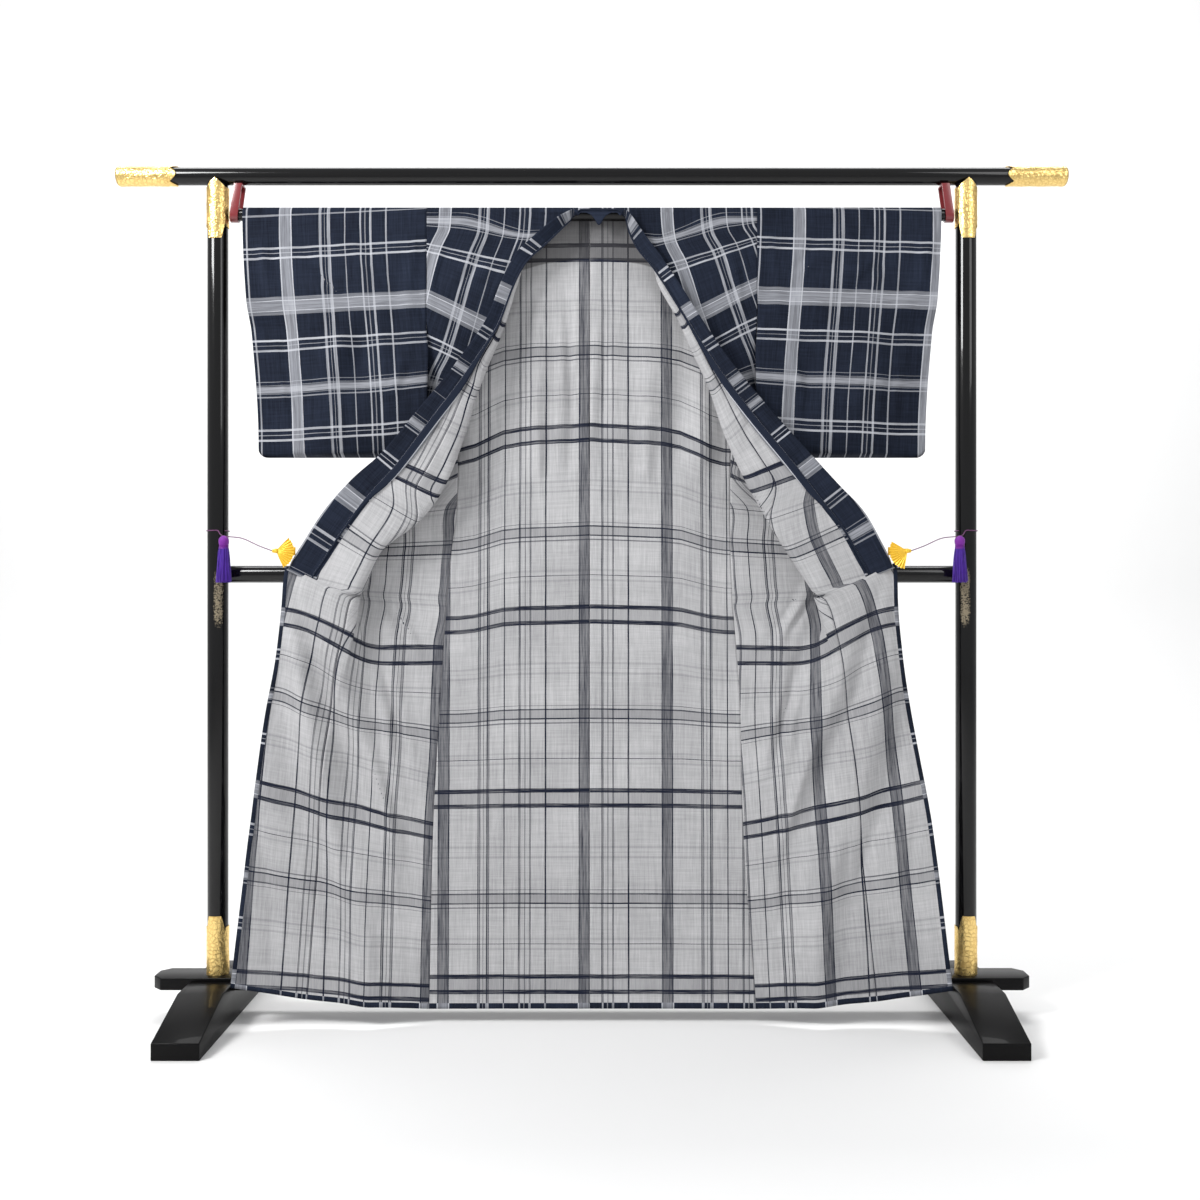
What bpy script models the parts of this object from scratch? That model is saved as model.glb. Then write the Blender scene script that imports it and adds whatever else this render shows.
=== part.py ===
# An unlined checked cotton kimono, hung open on a lacquered kimono stand.
# Metres. X runs to the right as the open front is seen, Y to the back, Z up from the floor.
# Every cloth piece is a wall of even thickness, made from one smooth middle surface.
import math
from collections import namedtuple

import bmesh
import bpy
import numpy as np
from mathutils import Matrix, Vector

# Cloth
CLOTH = 0.0015            # thickness of one wall
COLLAR_CLOTH = 0.0026     # the collar is a folded strip
SEAM_GAP = 0.0004         # between two pieces sewn edge to edge
CENTRE_X = -0.004         # back seam of the garment
SLEEVE_SEAM = 0.325       # from the middle of the stand to the sleeve seam
SLEEVE_JOIN = 0.23        # length of the sewn part of the armhole
SIDE_SEAM_TOP = 0.36      # the side seam starts this far below the shoulder
HEM_DROP = 1.64           # shoulder to hem along the pattern
COLLAR_END = 0.82         # the collar ends this far down the front edge
NECK_DROP = 0.03          # the back of the neck hangs this far over the rod
OKUMI_TOP = 0.245         # top of the narrow front strip
COLLAR_LIFT = 0.0026      # and this far in front of it where it folds back over the body
COLLAR_OFFSET = 0.0009    # the thick collar's edge stands this far off the seam line
FOLD_ROUND = 0.008        # how far the two layers open just behind a fold
STEPS = 10                # short steps in each stretch of a section's curve
TURN_COLUMN = 5           # the column that follows the outer turn, and the one for the fold
FOLD_COLUMN = 11
OKUMI_FOLD_COLUMN = 3
BODY_COLUMNS = 16         # columns of the body panel from the side to the neck
OKUMI_COLUMNS = 6
# Sleeve
SLEEVE_BOTTOM = 1.101
CUFF_X = 0.688            # at the rod
CUFF_DRAW = 0.030         # the cuff hangs this much nearer at the bottom
CUFF_OPEN_Z = 1.360       # the cuff is sewn shut below this height
CORNER_RADIUS = 0.018
# Rod that carries the sleeves
ROD_Z = 1.582
ROD_RADIUS = 0.012
ROD_HALF = 0.714
ROD_CLEAR = 0.0018        # from the rod to the middle of the cloth
# Stand
POST_X = 0.740
POST_RADIUS = 0.0203
TOP_BAR_Z = 1.658
TOP_BAR_RADIUS = 0.0173
TOP_BAR_HALF = 0.936
CAP_LENGTH = 0.120
CAP_RADIUS = 0.0200
RAIL_Z = 0.871
RAIL_RADIUS = 0.0170
PLANK_HALF = 0.860
PLANK_DEPTH = 0.070
PLANK_TOP = 0.082
PLANK_HEIGHT = 0.024
FOOT_WIDTH = 0.087
FOOT_HALF = 0.254
FOOT_TOP = 0.0757
FOOT_TOE = 0.031
FOOT_FLAT = 0.110
PLANK_CHAMFER = 0.018
CAP_ROUND = 0.002
CAP_HOLE = 0.0015         # the nail hole in a cap's end
TOP_FITTING_LOW = 1.556
FOOT_FITTING_HIGH = 0.150
FITTING_WALL = 0.0011
TONGUE = 0.022            # a fitting's point reaches this far
TONGUE_HALF = 0.72        # and takes this angle to each side
TOP_TONGUE_DIP = 0.35     # share of the tongue's length that the lower edge dips
HOOK_X = 0.7045
HOOK_WIDTH = 0.016
HOOK_WALL = 0.0030
HOOK_LEAN = 0.14
JOINT = 0.0003            # between parts that touch
# Hold-back clips, cords and tassels
CLIP_X = 0.607
CLIP_Y = -0.0840
CLIP_Z = 0.914
FAN_RADIUS = 0.037
FAN_PIVOT = 0.004
FAN_HALF_ANGLE = 46       # degrees to each side
FAN_RIBS = 11
FAN_CREST = 0.0009        # height of a pleat
FAN_THICK = 0.0016
JAW_OUT = 0.570           # the jaw behind the cloth starts here
JAW_CORNER = 0.599        # and turns forward here
JAW_Y = -0.0680
JAW_WALL = 0.0020
JAW_HALF = 0.009          # half its height
CORD_RADIUS = 0.0010
CORD_CLEAR = 0.0006       # between the cord and the post
CORD_RING_Z = 0.9565
CORD_STEP = 0.007
TASSEL_X = 0.7225
TASSEL_Y = -0.0335
TASSEL_TOP = 0.944
TASSEL_LENGTH = 0.088
TASSEL_HEAD = 0.0185      # the strands start this far below the tassel's top
STRAND_GAP = 0.00018
STRAND_UNEVEN = 0.006     # how much shorter the shortest strand is
STRAND_SPREAD = 0.85

# One row for each crosswise section of a front, from the shoulder down. "drop" is the length
# along the cloth. "out" is the distance from the middle of the stand, y the depth, z the height,
# at the side seam, at the outer turn, at the inner turn of the fold and at the front edge.
Section = namedtuple("Section", "drop seam_out seam_y seam_z turn_out turn_y "
                                "fold_out fold_y fold_z edge_out edge_y edge_z")
LEFT_FRONT = [
    Section(0.02, 0.325, -0.0138, 1.582, 0.312, -0.0138, 0.150, -0.0138, 1.582, 0.036, -0.0138, 1.582),
    Section(0.03, 0.325, -0.0140, 1.572, 0.312, -0.0140, 0.150, -0.0143, 1.572, 0.038, -0.0143, 1.572),
    Section(0.05, 0.325, -0.0144, 1.555, 0.312, -0.0145, 0.130, -0.0180, 1.540, 0.060, -0.0190, 1.548),
    Section(0.07, 0.325, -0.0148, 1.542, 0.312, -0.0150, 0.120, -0.0200, 1.514, 0.088, -0.0225, 1.520),
    Section(0.10, 0.325, -0.0153, 1.518, 0.312, -0.0156, 0.135, -0.0230, 1.472, 0.131, -0.0280, 1.478),
    Section(0.20, 0.325, -0.0177, 1.414, 0.312, -0.0180, 0.174, -0.0350, 1.342, 0.185, -0.0430, 1.351),
    Section(0.28, 0.324, -0.0180, 1.331, 0.314, -0.0186, 0.202, -0.0430, 1.274, 0.221, -0.0540, 1.293),
    Section(0.36, 0.319, -0.0150, 1.250, 0.3225, -0.0180, 0.221, -0.0500, 1.221, 0.256, -0.0640, 1.239),
    Section(0.45, 0.268, -0.0080, 1.165, 0.318, -0.0180, 0.243, -0.0560, 1.145, 0.307, -0.0720, 1.170),
    Section(0.56, 0.264, -0.0100, 1.081, 0.3225, -0.0240, 0.286, -0.0630, 1.034, 0.379, -0.0800, 1.073),
    Section(0.637, 0.266, -0.0140, 1.001, 0.420, -0.0300, 0.331, -0.0660, 0.972, 0.425, -0.0810, 1.023),
    Section(0.725, 0.275, -0.0190, 0.920, 0.462, -0.0360, 0.405, -0.0680, 0.912, 0.478, -0.0790, 0.953),
    Section(0.82, 0.284, -0.0240, 0.820, 0.475, -0.0400, 0.440, -0.0720, 0.835, 0.541, -0.0740, 0.860),
    Section(0.90, 0.290, -0.0290, 0.725, 0.450, -0.0430, 0.455, -0.0740, 0.760, 0.598, -0.0680, 0.797),
    Section(1.08, 0.299, -0.0360, 0.565, 0.410, -0.0480, 0.500, -0.0720, 0.578, 0.633, -0.0620, 0.586),
    Section(1.25, 0.308, -0.0420, 0.390, 0.420, -0.0600, 0.520, -0.0560, 0.376, 0.660, -0.0700, 0.366),
    Section(1.64, 0.315, -0.0520, 0.028, 0.430, -0.0760, 0.560, -0.0660, 0.052, 0.690, -0.0880, 0.080),
]
RIGHT_FRONT = [
    Section(0.02, 0.325, -0.0138, 1.582, 0.312, -0.0138, 0.165, -0.0138, 1.582, 0.064, -0.0138, 1.582),
    Section(0.03, 0.325, -0.0140, 1.572, 0.312, -0.0140, 0.165, -0.0143, 1.572, 0.066, -0.0143, 1.572),
    Section(0.05, 0.325, -0.0143, 1.562, 0.312, -0.0145, 0.130, -0.0180, 1.532, 0.074, -0.0190, 1.541),
    Section(0.07, 0.325, -0.0146, 1.551, 0.312, -0.0150, 0.120, -0.0200, 1.502, 0.089, -0.0225, 1.510),
    Section(0.10, 0.325, -0.0150, 1.532, 0.312, -0.0156, 0.122, -0.0230, 1.467, 0.118, -0.0280, 1.473),
    Section(0.20, 0.325, -0.0171, 1.439, 0.312, -0.0176, 0.169, -0.0350, 1.364, 0.180, -0.0430, 1.373),
    Section(0.28, 0.324, -0.0180, 1.366, 0.314, -0.0186, 0.195, -0.0430, 1.302, 0.216, -0.0540, 1.313),
    Section(0.36, 0.319, -0.0150, 1.269, 0.3225, -0.0180, 0.225, -0.0500, 1.235, 0.254, -0.0640, 1.254),
    Section(0.45, 0.280, -0.0080, 1.165, 0.318, -0.0180, 0.256, -0.0560, 1.141, 0.305, -0.0720, 1.184),
    Section(0.56, 0.273, -0.0100, 1.081, 0.3225, -0.0240, 0.299, -0.0630, 1.044, 0.392, -0.0800, 1.075),
    Section(0.637, 0.272, -0.0140, 1.001, 0.425, -0.0300, 0.336, -0.0660, 0.976, 0.442, -0.0810, 1.010),
    Section(0.725, 0.272, -0.0190, 0.926, 0.462, -0.0360, 0.376, -0.0680, 0.910, 0.485, -0.0790, 0.954),
    Section(0.82, 0.275, -0.0240, 0.822, 0.475, -0.0400, 0.424, -0.0720, 0.835, 0.533, -0.0740, 0.874),
    Section(0.90, 0.281, -0.0290, 0.745, 0.450, -0.0430, 0.447, -0.0740, 0.768, 0.590, -0.0680, 0.812),
    Section(1.08, 0.290, -0.0360, 0.593, 0.400, -0.0480, 0.490, -0.0720, 0.590, 0.619, -0.0620, 0.596),
    Section(1.25, 0.293, -0.0420, 0.418, 0.410, -0.0600, 0.510, -0.0560, 0.398, 0.655, -0.0700, 0.388),
    Section(1.64, 0.319, -0.0520, 0.028, 0.430, -0.0760, 0.560, -0.0660, 0.048, 0.690, -0.0880, 0.074),
]
# Depth of the back panel on its middle line, by height.
Depth = namedtuple("Depth", "z y")
BACK_MIDDLE = [Depth(0.026, -0.051), Depth(0.30, -0.038), Depth(0.60, -0.029), Depth(0.82, -0.0225),
               Depth(0.91, -0.0205), Depth(1.20, 0.000), Depth(1.582, 0.0138)]
# The two walls of a sleeve, by height: depth at the sleeve seam and depth half way out.
Sleeve = namedtuple("Sleeve", "z front_in back_in front_out back_out")
SLEEVE_WALLS = [
    Sleeve(1.115, -0.034, 0.016, -0.026, 0.016), Sleeve(1.150, -0.045, 0.024, -0.034, 0.024),
    Sleeve(1.230, -0.043, 0.024, -0.034, 0.025), Sleeve(1.320, -0.027, 0.016, -0.030, 0.023),
    Sleeve(1.385, -0.0184, 0.0115, -0.026, 0.021), Sleeve(1.480, -0.0162, 0.0126, -0.020, 0.018),
    Sleeve(1.582, -0.0138, 0.0138, -0.0138, 0.0138)]
# Collar: its width and how its cross line points (out, back, up), by place along the front edge.
Collar = namedtuple("Collar", "drop width out back up")
COLLAR_NECK = [Collar(0.03, 0.020, -0.05, -0.60, 0.50), Collar(0.05, 0.025, 0.50, -0.52, 0.62),
               Collar(0.07, 0.028, 0.72, -0.42, 0.55), Collar(0.10, 0.028, 0.90, -0.33, 0.30)]
COLLAR_WIDTHS = [(0.10, 0.028), (0.20, 0.029), (0.45, 0.031), (0.56, 0.036), (0.64, 0.042), (0.82, 0.046)]
FRONT_DROPS = [0.02, 0.03, 0.04, 0.055, 0.07, 0.085, 0.10, 0.12, 0.15, 0.20, 0.25, 0.30, 0.36, 0.42,
               0.48, 0.54, 0.60, 0.66, 0.71, 0.75, 0.785, 0.82, 0.86, 0.90, 0.95, 1.00, 1.09, 1.20,
               1.31, 1.42, 1.53, 1.64]
BACK_DROPS = [0.02, 0.10, 0.20, 0.30] + [d for d in FRONT_DROPS if d >= SIDE_SEAM_TOP]


def clear_scene():
    for thing in list(bpy.data.objects):
        bpy.data.objects.remove(thing, do_unlink=True)


def material(name, colour, roughness, metallic=0.0):
    found = bpy.data.materials.get(name)
    if found:
        return found
    made = bpy.data.materials.new(name)
    made.use_nodes = True
    shader = made.node_tree.nodes["Principled BSDF"]
    shader.inputs["Base Color"].default_value = (*colour, 1.0)
    shader.inputs["Roughness"].default_value = roughness
    shader.inputs["Metallic"].default_value = metallic
    return made


def cotton():
    return material("navy_checked_cotton", (0.055, 0.065, 0.105), 0.9)


def lacquer():
    return material("black_lacquer", (0.012, 0.011, 0.011), 0.12)


def gilt():
    return material("gold_metal", (0.80, 0.56, 0.18), 0.28, 1.0)


def add_object(name, mesh, finish):
    thing = bpy.data.objects.new(name, mesh)
    mesh.materials.append(finish)
    bpy.context.scene.collection.objects.link(thing)
    return thing


def object_from(name, points, faces, finish):
    mesh = bpy.data.meshes.new(name)
    mesh.from_pydata([tuple(map(float, p)) for p in points], [], faces)
    mesh.validate()
    bm = bmesh.new()
    bm.from_mesh(mesh)
    bmesh.ops.recalc_face_normals(bm, faces=bm.faces)
    bm.to_mesh(mesh)
    bm.free()
    return add_object(name, mesh, finish)


def smooth_read(places, values, at):
    """Reads a table between its rows, without overshoot."""
    places = np.asarray(places, float)
    values = np.asarray(values, float)
    steps = np.diff(places)
    slopes = np.diff(values) / steps
    ends = np.zeros(len(places))
    ends[0], ends[-1] = slopes[0], slopes[-1]
    for i in range(1, len(places) - 1):
        before, after = slopes[i - 1], slopes[i]
        if before * after > 0:
            w1 = 2 * steps[i] + steps[i - 1]
            w2 = steps[i] + 2 * steps[i - 1]
            ends[i] = (w1 + w2) / (w1 / before + w2 / after)
    at = min(max(at, places[0]), places[-1])
    i = min(int(np.searchsorted(places, at, side="right")) - 1, len(places) - 2)
    t = (at - places[i]) / steps[i]
    h = steps[i]
    return ((2 * t ** 3 - 3 * t ** 2 + 1) * values[i] + (t ** 3 - 2 * t ** 2 + t) * h * ends[i]
            + (3 * t ** 2 - 2 * t ** 3) * values[i + 1] + (t ** 3 - t ** 2) * h * ends[i + 1])


def read_row(table, column, at):
    return smooth_read([row[0] for row in table], [getattr(row, column) for row in table], at)


def ease(low, high, value):
    t = min(max((value - low) / (high - low), 0.0), 1.0)
    return t * t * (3 - 2 * t)


def curve_through(points, steps=10):
    """A smooth curve through the points, as many short steps."""
    points = [np.asarray(p, float) for p in points]
    padded = [2 * points[0] - points[1]] + points + [2 * points[-1] - points[-2]]
    out = []
    for p0, p1, p2, p3 in zip(padded, padded[1:], padded[2:], padded[3:]):
        t0 = 0.0
        t1 = t0 + max(np.linalg.norm(p1 - p0), 1e-6) ** 0.5
        t2 = t1 + max(np.linalg.norm(p2 - p1), 1e-6) ** 0.5
        t3 = t2 + max(np.linalg.norm(p3 - p2), 1e-6) ** 0.5
        for t in np.linspace(t1, t2, steps, endpoint=False):
            a1 = (t1 - t) / (t1 - t0) * p0 + (t - t0) / (t1 - t0) * p1
            a2 = (t2 - t) / (t2 - t1) * p1 + (t - t1) / (t2 - t1) * p2
            a3 = (t3 - t) / (t3 - t2) * p2 + (t - t2) / (t3 - t2) * p3
            b1 = (t2 - t) / (t2 - t0) * a1 + (t - t0) / (t2 - t0) * a2
            b2 = (t3 - t) / (t3 - t1) * a2 + (t - t1) / (t3 - t1) * a3
            out.append((t2 - t) / (t2 - t1) * b1 + (t - t1) / (t2 - t1) * b2)
    out.append(points[-1])
    return np.array(out)


def along(curve, fractions):
    """Points of a curve at fractions of its length."""
    lengths = np.concatenate([[0], np.cumsum(np.linalg.norm(np.diff(curve, axis=0), axis=1))])
    wanted = np.asarray(fractions) * lengths[-1]
    return np.stack([np.interp(wanted, lengths, curve[:, k]) for k in range(3)], axis=1)


def front_section(table, drop):
    """One crosswise section of a front from the side seam to the front edge, with the places of
    the outer turn and of the fold along it."""
    get = lambda column: read_row(table, column, drop)
    seam = np.array([get("seam_out"), get("seam_y"), get("seam_z")])
    fold = np.array([get("fold_out"), get("fold_y"), get("fold_z")])
    edge = np.array([get("edge_out"), get("edge_y"), get("edge_z")])
    turn = np.array([get("turn_out"), get("turn_y"), 0.0])
    before_turn, after_turn = abs(turn[0] - seam[0]), abs(turn[0] - fold[0])
    turn[2] = seam[2] + (fold[2] - seam[2]) * before_turn / (before_turn + after_turn)
    doubled = ease(0.34, 0.45, drop) * (1 - ease(0.82, 0.97, drop))
    lapel = ease(0.06, 0.20, drop) * (1 - ease(0.82, 0.97, drop))
    before = turn + (seam - turn) * 0.12 * (1 - doubled)
    after = turn + (fold - turn) * 0.12 * (1 - doubled)
    before += (-0.004 * doubled, 0.005 * doubled, 0)
    after += (-0.004 * doubled, -0.005 * doubled, 0)
    near = fold + (turn - fold) * 0.10 * (1 - lapel)
    past = fold + (edge - fold) * 0.10 * (1 - lapel)
    bulge = FOLD_ROUND * lapel * (1 + 0.75 * ease(0.64, 0.78, drop))
    near += (0.8 * bulge, bulge, 0)
    past += (0.8 * bulge, -bulge, 0)
    curve = curve_through([seam, before, turn, after, near, fold, past, edge], STEPS)
    lengths = np.concatenate([[0], np.cumsum(np.linalg.norm(np.diff(curve, axis=0), axis=1))])
    return curve, lengths[-1], lengths[2 * STEPS] / lengths[-1], lengths[5 * STEPS] / lengths[-1]


def columns(start, end, count, marks):
    """Fractions from start to end, with the marked columns at their own places where they fit."""
    step = (end - start) / (count - 1)
    places = [start]
    known = [0]
    for index, at in marks:
        lowest = places[-1] + 0.4 * step * (index - known[-1])
        at = min(max(at, lowest), end - 0.4 * step * (count - 1 - index))
        places.append(at)
        known.append(index)
    return np.interp(range(count), known + [count - 1], places + [end])


def okumi_share(drop):
    """How much of a front section, from the side seam, is the body panel."""
    panel = 0.270 - 0.030 * ease(0.23, HEM_DROP, drop)
    whole = panel + 0.150 * min(max((drop - OKUMI_TOP) / (COLLAR_END - OKUMI_TOP), 0.0), 1.0)
    return panel / whole


def clip_fold(points, drop, shares):
    """The long soft fold that falls from the clip to the hem, and slighter ones beside it."""
    fade = ease(0.84, 1.0, drop) * (1 - 0.7 * ease(1.35, HEM_DROP, drop))
    ridge = 0.93 - 0.62 * ease(0.80, 1.60, drop)
    for k, share in enumerate(shares):
        swell = math.exp(-((share - ridge) / 0.075) ** 2)
        swell -= 0.7 * math.exp(-((share - ridge - 0.15) / 0.07) ** 2)
        points[k, 1] -= 0.012 * fade * swell
    return points


def outward(side, points):
    """Turns distances from the middle of the stand into X on the left (-1) or right (+1)."""
    moved = np.array(points, float)
    moved[..., 0] *= side
    return moved


def side_places(table, drop):
    return [read_row(table, name, drop) for name in ("seam_out", "seam_y", "seam_z")]


def back_row(table, side, drop, shares, neck):
    """One level row of the back panel, from the side seam to the back seam."""
    out, y, z = side_places(table, drop)
    middle = read_row(BACK_MIDDLE, "y", z)
    if drop < SIDE_SEAM_TOP:
        free = ease(0.02, SIDE_SEAM_TOP, drop)
        y = (1 - free) * 0.0138 + free * read_row(table, "seam_y", SIDE_SEAM_TOP)
        y = max(y, 0.0138 - 0.0023 * (drop - 0.02) / 0.21) if drop <= SLEEVE_JOIN else y
    row = []
    for share in shares:
        x = out + (neck - out) * share
        row.append([x - (SEAM_GAP / 2 if drop >= SIDE_SEAM_TOP and share == 0 else 0), 0, z])
    for x in neck_columns(side, neck):
        row.append([x, 0, z])
    for point in row:
        across = min(max(point[0] / out, 0.0), 1.0)
        point[1] = middle + (y - middle) * across ** 3
    return np.array(row)


def neck_columns(side, neck):
    """Distances from the middle for the columns between the neck point and the back seam."""
    last = CENTRE_X * side + SEAM_GAP / 2
    return [last + (neck - last) * share for share in (0.66, 0.33, 0.0)]


def vertex_normals(points, quads):
    normals = np.zeros_like(points)
    for quad in quads:
        a, b, c, d = (points[i] for i in quad)
        face = np.cross(c - a, d - b)
        for i in quad:
            normals[i] += face
    lengths = np.linalg.norm(normals, axis=1, keepdims=True)
    return normals / np.maximum(lengths, 1e-12)


def wall(name, points, normals, quads, thickness, finish):
    """A closed wall: the surface moved out to both sides, with a rim along every free edge. Both
    sides are cut along the same diagonals, so that a twisted quad keeps its thickness."""
    count = len(points)
    outer = points + normals * thickness / 2
    inner = points - normals * thickness / 2
    faces = []
    for a, b, c, d in quads:
        if np.linalg.norm(points[a] - points[c]) <= np.linalg.norm(points[b] - points[d]):
            halves = [(a, b, c), (a, c, d)]
        else:
            halves = [(a, b, d), (b, c, d)]
        for half in halves:
            faces += [half, tuple(i + count for i in reversed(half))]
    used = {}
    for quad in quads:
        for a, b in zip(quad, quad[1:] + quad[:1]):
            used[(a, b)] = used.get((a, b), 0) + 1
    for a, b in used:
        if (b, a) not in used:
            faces.append((b, a, a + count, b + count))
    return object_from(name, np.vstack([outer, inner]), faces, finish)


def body_rows(side, table):
    """Rows of one side: back hem, over the rod, to the front hem, with the okumi's own columns."""
    neck = table[0].edge_out
    shares = np.linspace(0, 1, BODY_COLUMNS)
    rows = []
    for drop in reversed(BACK_DROPS[1:]):
        rows.append(("back", drop, back_row(table, side, drop, shares, neck), None))
    radius = ROD_RADIUS + ROD_CLEAR
    for turn in (-90, -45, 0, 45):
        row = [[SLEEVE_SEAM + (neck - SLEEVE_SEAM) * s, 0, 0] for s in shares]
        row += [[x, 0, 0] for x in neck_columns(side, neck)]
        row = np.array(row)
        row[:, 1] = -radius * math.sin(math.radians(turn))
        row[:, 2] = ROD_Z + radius * math.cos(math.radians(turn))
        rows.append(("rod", 0.0, row, None))
    for drop in FRONT_DROPS:
        rows.append(("front", drop, *front_row(table, side, drop, neck)))
    for kind, drop, row, strip in rows:
        row[0, 0] = min(row[0, 0], SLEEVE_SEAM - SEAM_GAP / 2)
    return rows


def front_row(table, side, drop, neck):
    """One row of a front: the body panel's points, and the okumi's where it has begun."""
    curve, length, turn_at, fold_at = front_section(table, drop)
    half_gap = SEAM_GAP / 2 / length
    twist_gap = half_gap * (1 + 2 * ease(0.60, 0.68, drop) * ease(1.0, 0.92, drop))
    start = half_gap if drop >= SIDE_SEAM_TOP else 0.0
    beside = FOLD_ROUND / length
    strip = None
    share = 1.0
    if drop > OKUMI_TOP:
        share = okumi_share(drop)
        marks = [(OKUMI_FOLD_COLUMN - 1, fold_at - beside), (OKUMI_FOLD_COLUMN, fold_at),
                 (OKUMI_FOLD_COLUMN + 1, fold_at + beside)]
        fractions = columns(share + twist_gap, 1 - half_gap, OKUMI_COLUMNS + 1, marks)
        strip = clip_fold(along(curve, fractions), drop, fractions)
    end = share - (twist_gap if drop > NECK_DROP else 0.0)
    marks = [(TURN_COLUMN - 1, turn_at - beside), (TURN_COLUMN, turn_at), (TURN_COLUMN + 1, turn_at + beside),
             (FOLD_COLUMN - 1, fold_at - beside), (FOLD_COLUMN, fold_at), (FOLD_COLUMN + 1, fold_at + beside)]
    fractions = columns(start, end, BODY_COLUMNS, marks)
    row = clip_fold(along(curve, fractions), drop, fractions)
    if drop <= NECK_DROP:
        row = np.vstack([row, [[x, row[-1, 1], row[-1, 2]] for x in neck_columns(side, neck)]])
    return row, strip


def grid_mesh(rows):
    """Points and quads of rows that may differ in length; the extra columns end early."""
    starts = np.cumsum([0] + [len(row) for row in rows])
    quads = []
    for r in range(len(rows) - 1):
        for c in range(min(len(rows[r]), len(rows[r + 1])) - 1):
            a, b = int(starts[r]) + c, int(starts[r + 1]) + c
            quads.append([a, a + 1, b + 1, b])
    return np.vstack(rows), quads, starts


def make_body_side(word, side, table):
    """The body panel and the okumi, cut from one surface so that their seam lies flat."""
    rows = body_rows(side, table)
    points, quads, starts = grid_mesh([outward(side, row) for kind, drop, row, strip in rows])
    strips = [(r, row) for r, row in enumerate(rows) if row[3] is not None]
    strip_points, strip_quads, strip_starts = grid_mesh([outward(side, row[3]) for r, row in strips])
    count = len(points)
    pairs = [(int(starts[r + 1]) - 1, count + int(strip_starts[k])) for k, (r, row) in enumerate(strips)]
    bridges = [[a, b, d, c] for (a, b), (c, d) in zip(pairs, pairs[1:])]
    back = {row[1]: int(starts[r]) for r, row in enumerate(rows) if row[0] == "back"}
    sides = [(back[row[1]], int(starts[r])) for r, row in enumerate(rows)
             if row[0] == "front" and row[1] >= SIDE_SEAM_TOP]
    bridges += [[a, b, d, c] for (a, b), (c, d) in zip(sides, sides[1:])]
    everything = np.vstack([points, strip_points])
    shifted = [[i + count for i in quad] for quad in strip_quads]
    normals = vertex_normals(everything, quads + shifted + bridges)
    for a, b in pairs + sides:
        shared = normals[a] + normals[b]
        normals[a] = normals[b] = shared / np.linalg.norm(shared)
    wall("body_" + word, points, normals[:count], quads, CLOTH, cotton())
    wall("okumi_" + word, strip_points, normals[count:], strip_quads, CLOTH, cotton())


def sleeve_depth(z, wall_name, far):
    near_y = read_row(SLEEVE_WALLS, wall_name + "_in", z)
    far_y = read_row(SLEEVE_WALLS, wall_name + "_out", z)
    return near_y + (far_y - near_y) * ease(0.0, 0.35, far)


def make_sleeve(name, side):
    """A folded tube: front wall, over the rod, back wall, closed along the bottom."""
    shares = [0.0, 0.10, 0.28, 0.48, 0.68, 0.84, 0.93, 0.975, 1.0]
    heights = [1.125, 1.155, 1.195, 1.240, 1.285, 1.325, 1.360, 1.385, 1.430, 1.480, 1.530]
    radius = ROD_RADIUS + ROD_CLEAR
    inner = SLEEVE_SEAM + SEAM_GAP / 2
    rings = []
    for share in shares:
        low_cuff = CUFF_X - CUFF_DRAW
        from_cuff = (1 - share) * (low_cuff - inner)
        lift = 0.0
        if from_cuff < CORNER_RADIUS:
            lift = CORNER_RADIUS - math.sqrt(CORNER_RADIUS ** 2 - (CORNER_RADIUS - from_cuff) ** 2)
        bottom = SLEEVE_BOTTOM + min(lift, 0.013)

        def place(z, y):
            cuff = CUFF_X - CUFF_DRAW * ease(1.60, 1.12, z)
            return [inner + (cuff - inner) * share, y, z]

        def pinched(z, y):
            shut = ease(0.60, 1.0, share) * ease(CUFF_OPEN_Z + 0.05, CUFF_OPEN_Z - 0.01, z)
            seam = -0.005 + math.copysign(CLOTH / 2 + 0.0004, y)
            return y + (seam - y) * shut

        ring = [place(bottom, -0.005)]
        levels = [bottom + (z - SLEEVE_BOTTOM) * (1 - (bottom - SLEEVE_BOTTOM) / 0.43) for z in heights]
        for z in levels:
            ring.append(place(z, pinched(z, sleeve_depth(z, "back", share))))
        for turn in (-90, -45, 0, 45, 90):
            angle = math.radians(turn)
            ring.append(place(ROD_Z + radius * math.cos(angle), -radius * math.sin(angle)))
        for z in reversed(levels):
            ring.append(place(z, pinched(z, sleeve_depth(z, "front", share))))
        rings.append(outward(side, ring))
    count = len(rings[0])
    points = np.vstack(rings)
    quads = []
    for r in range(len(rings) - 1):
        for c in range(count):
            a, b = r * count + c, r * count + (c + 1) % count
            quads.append([a, b, b + count, a + count])
    wall(name, points, vertex_normals(points, quads), quads, CLOTH, cotton())


def collar_width(drop):
    return smooth_read([w[0] for w in COLLAR_WIDTHS], [w[1] for w in COLLAR_WIDTHS], drop)


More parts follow.
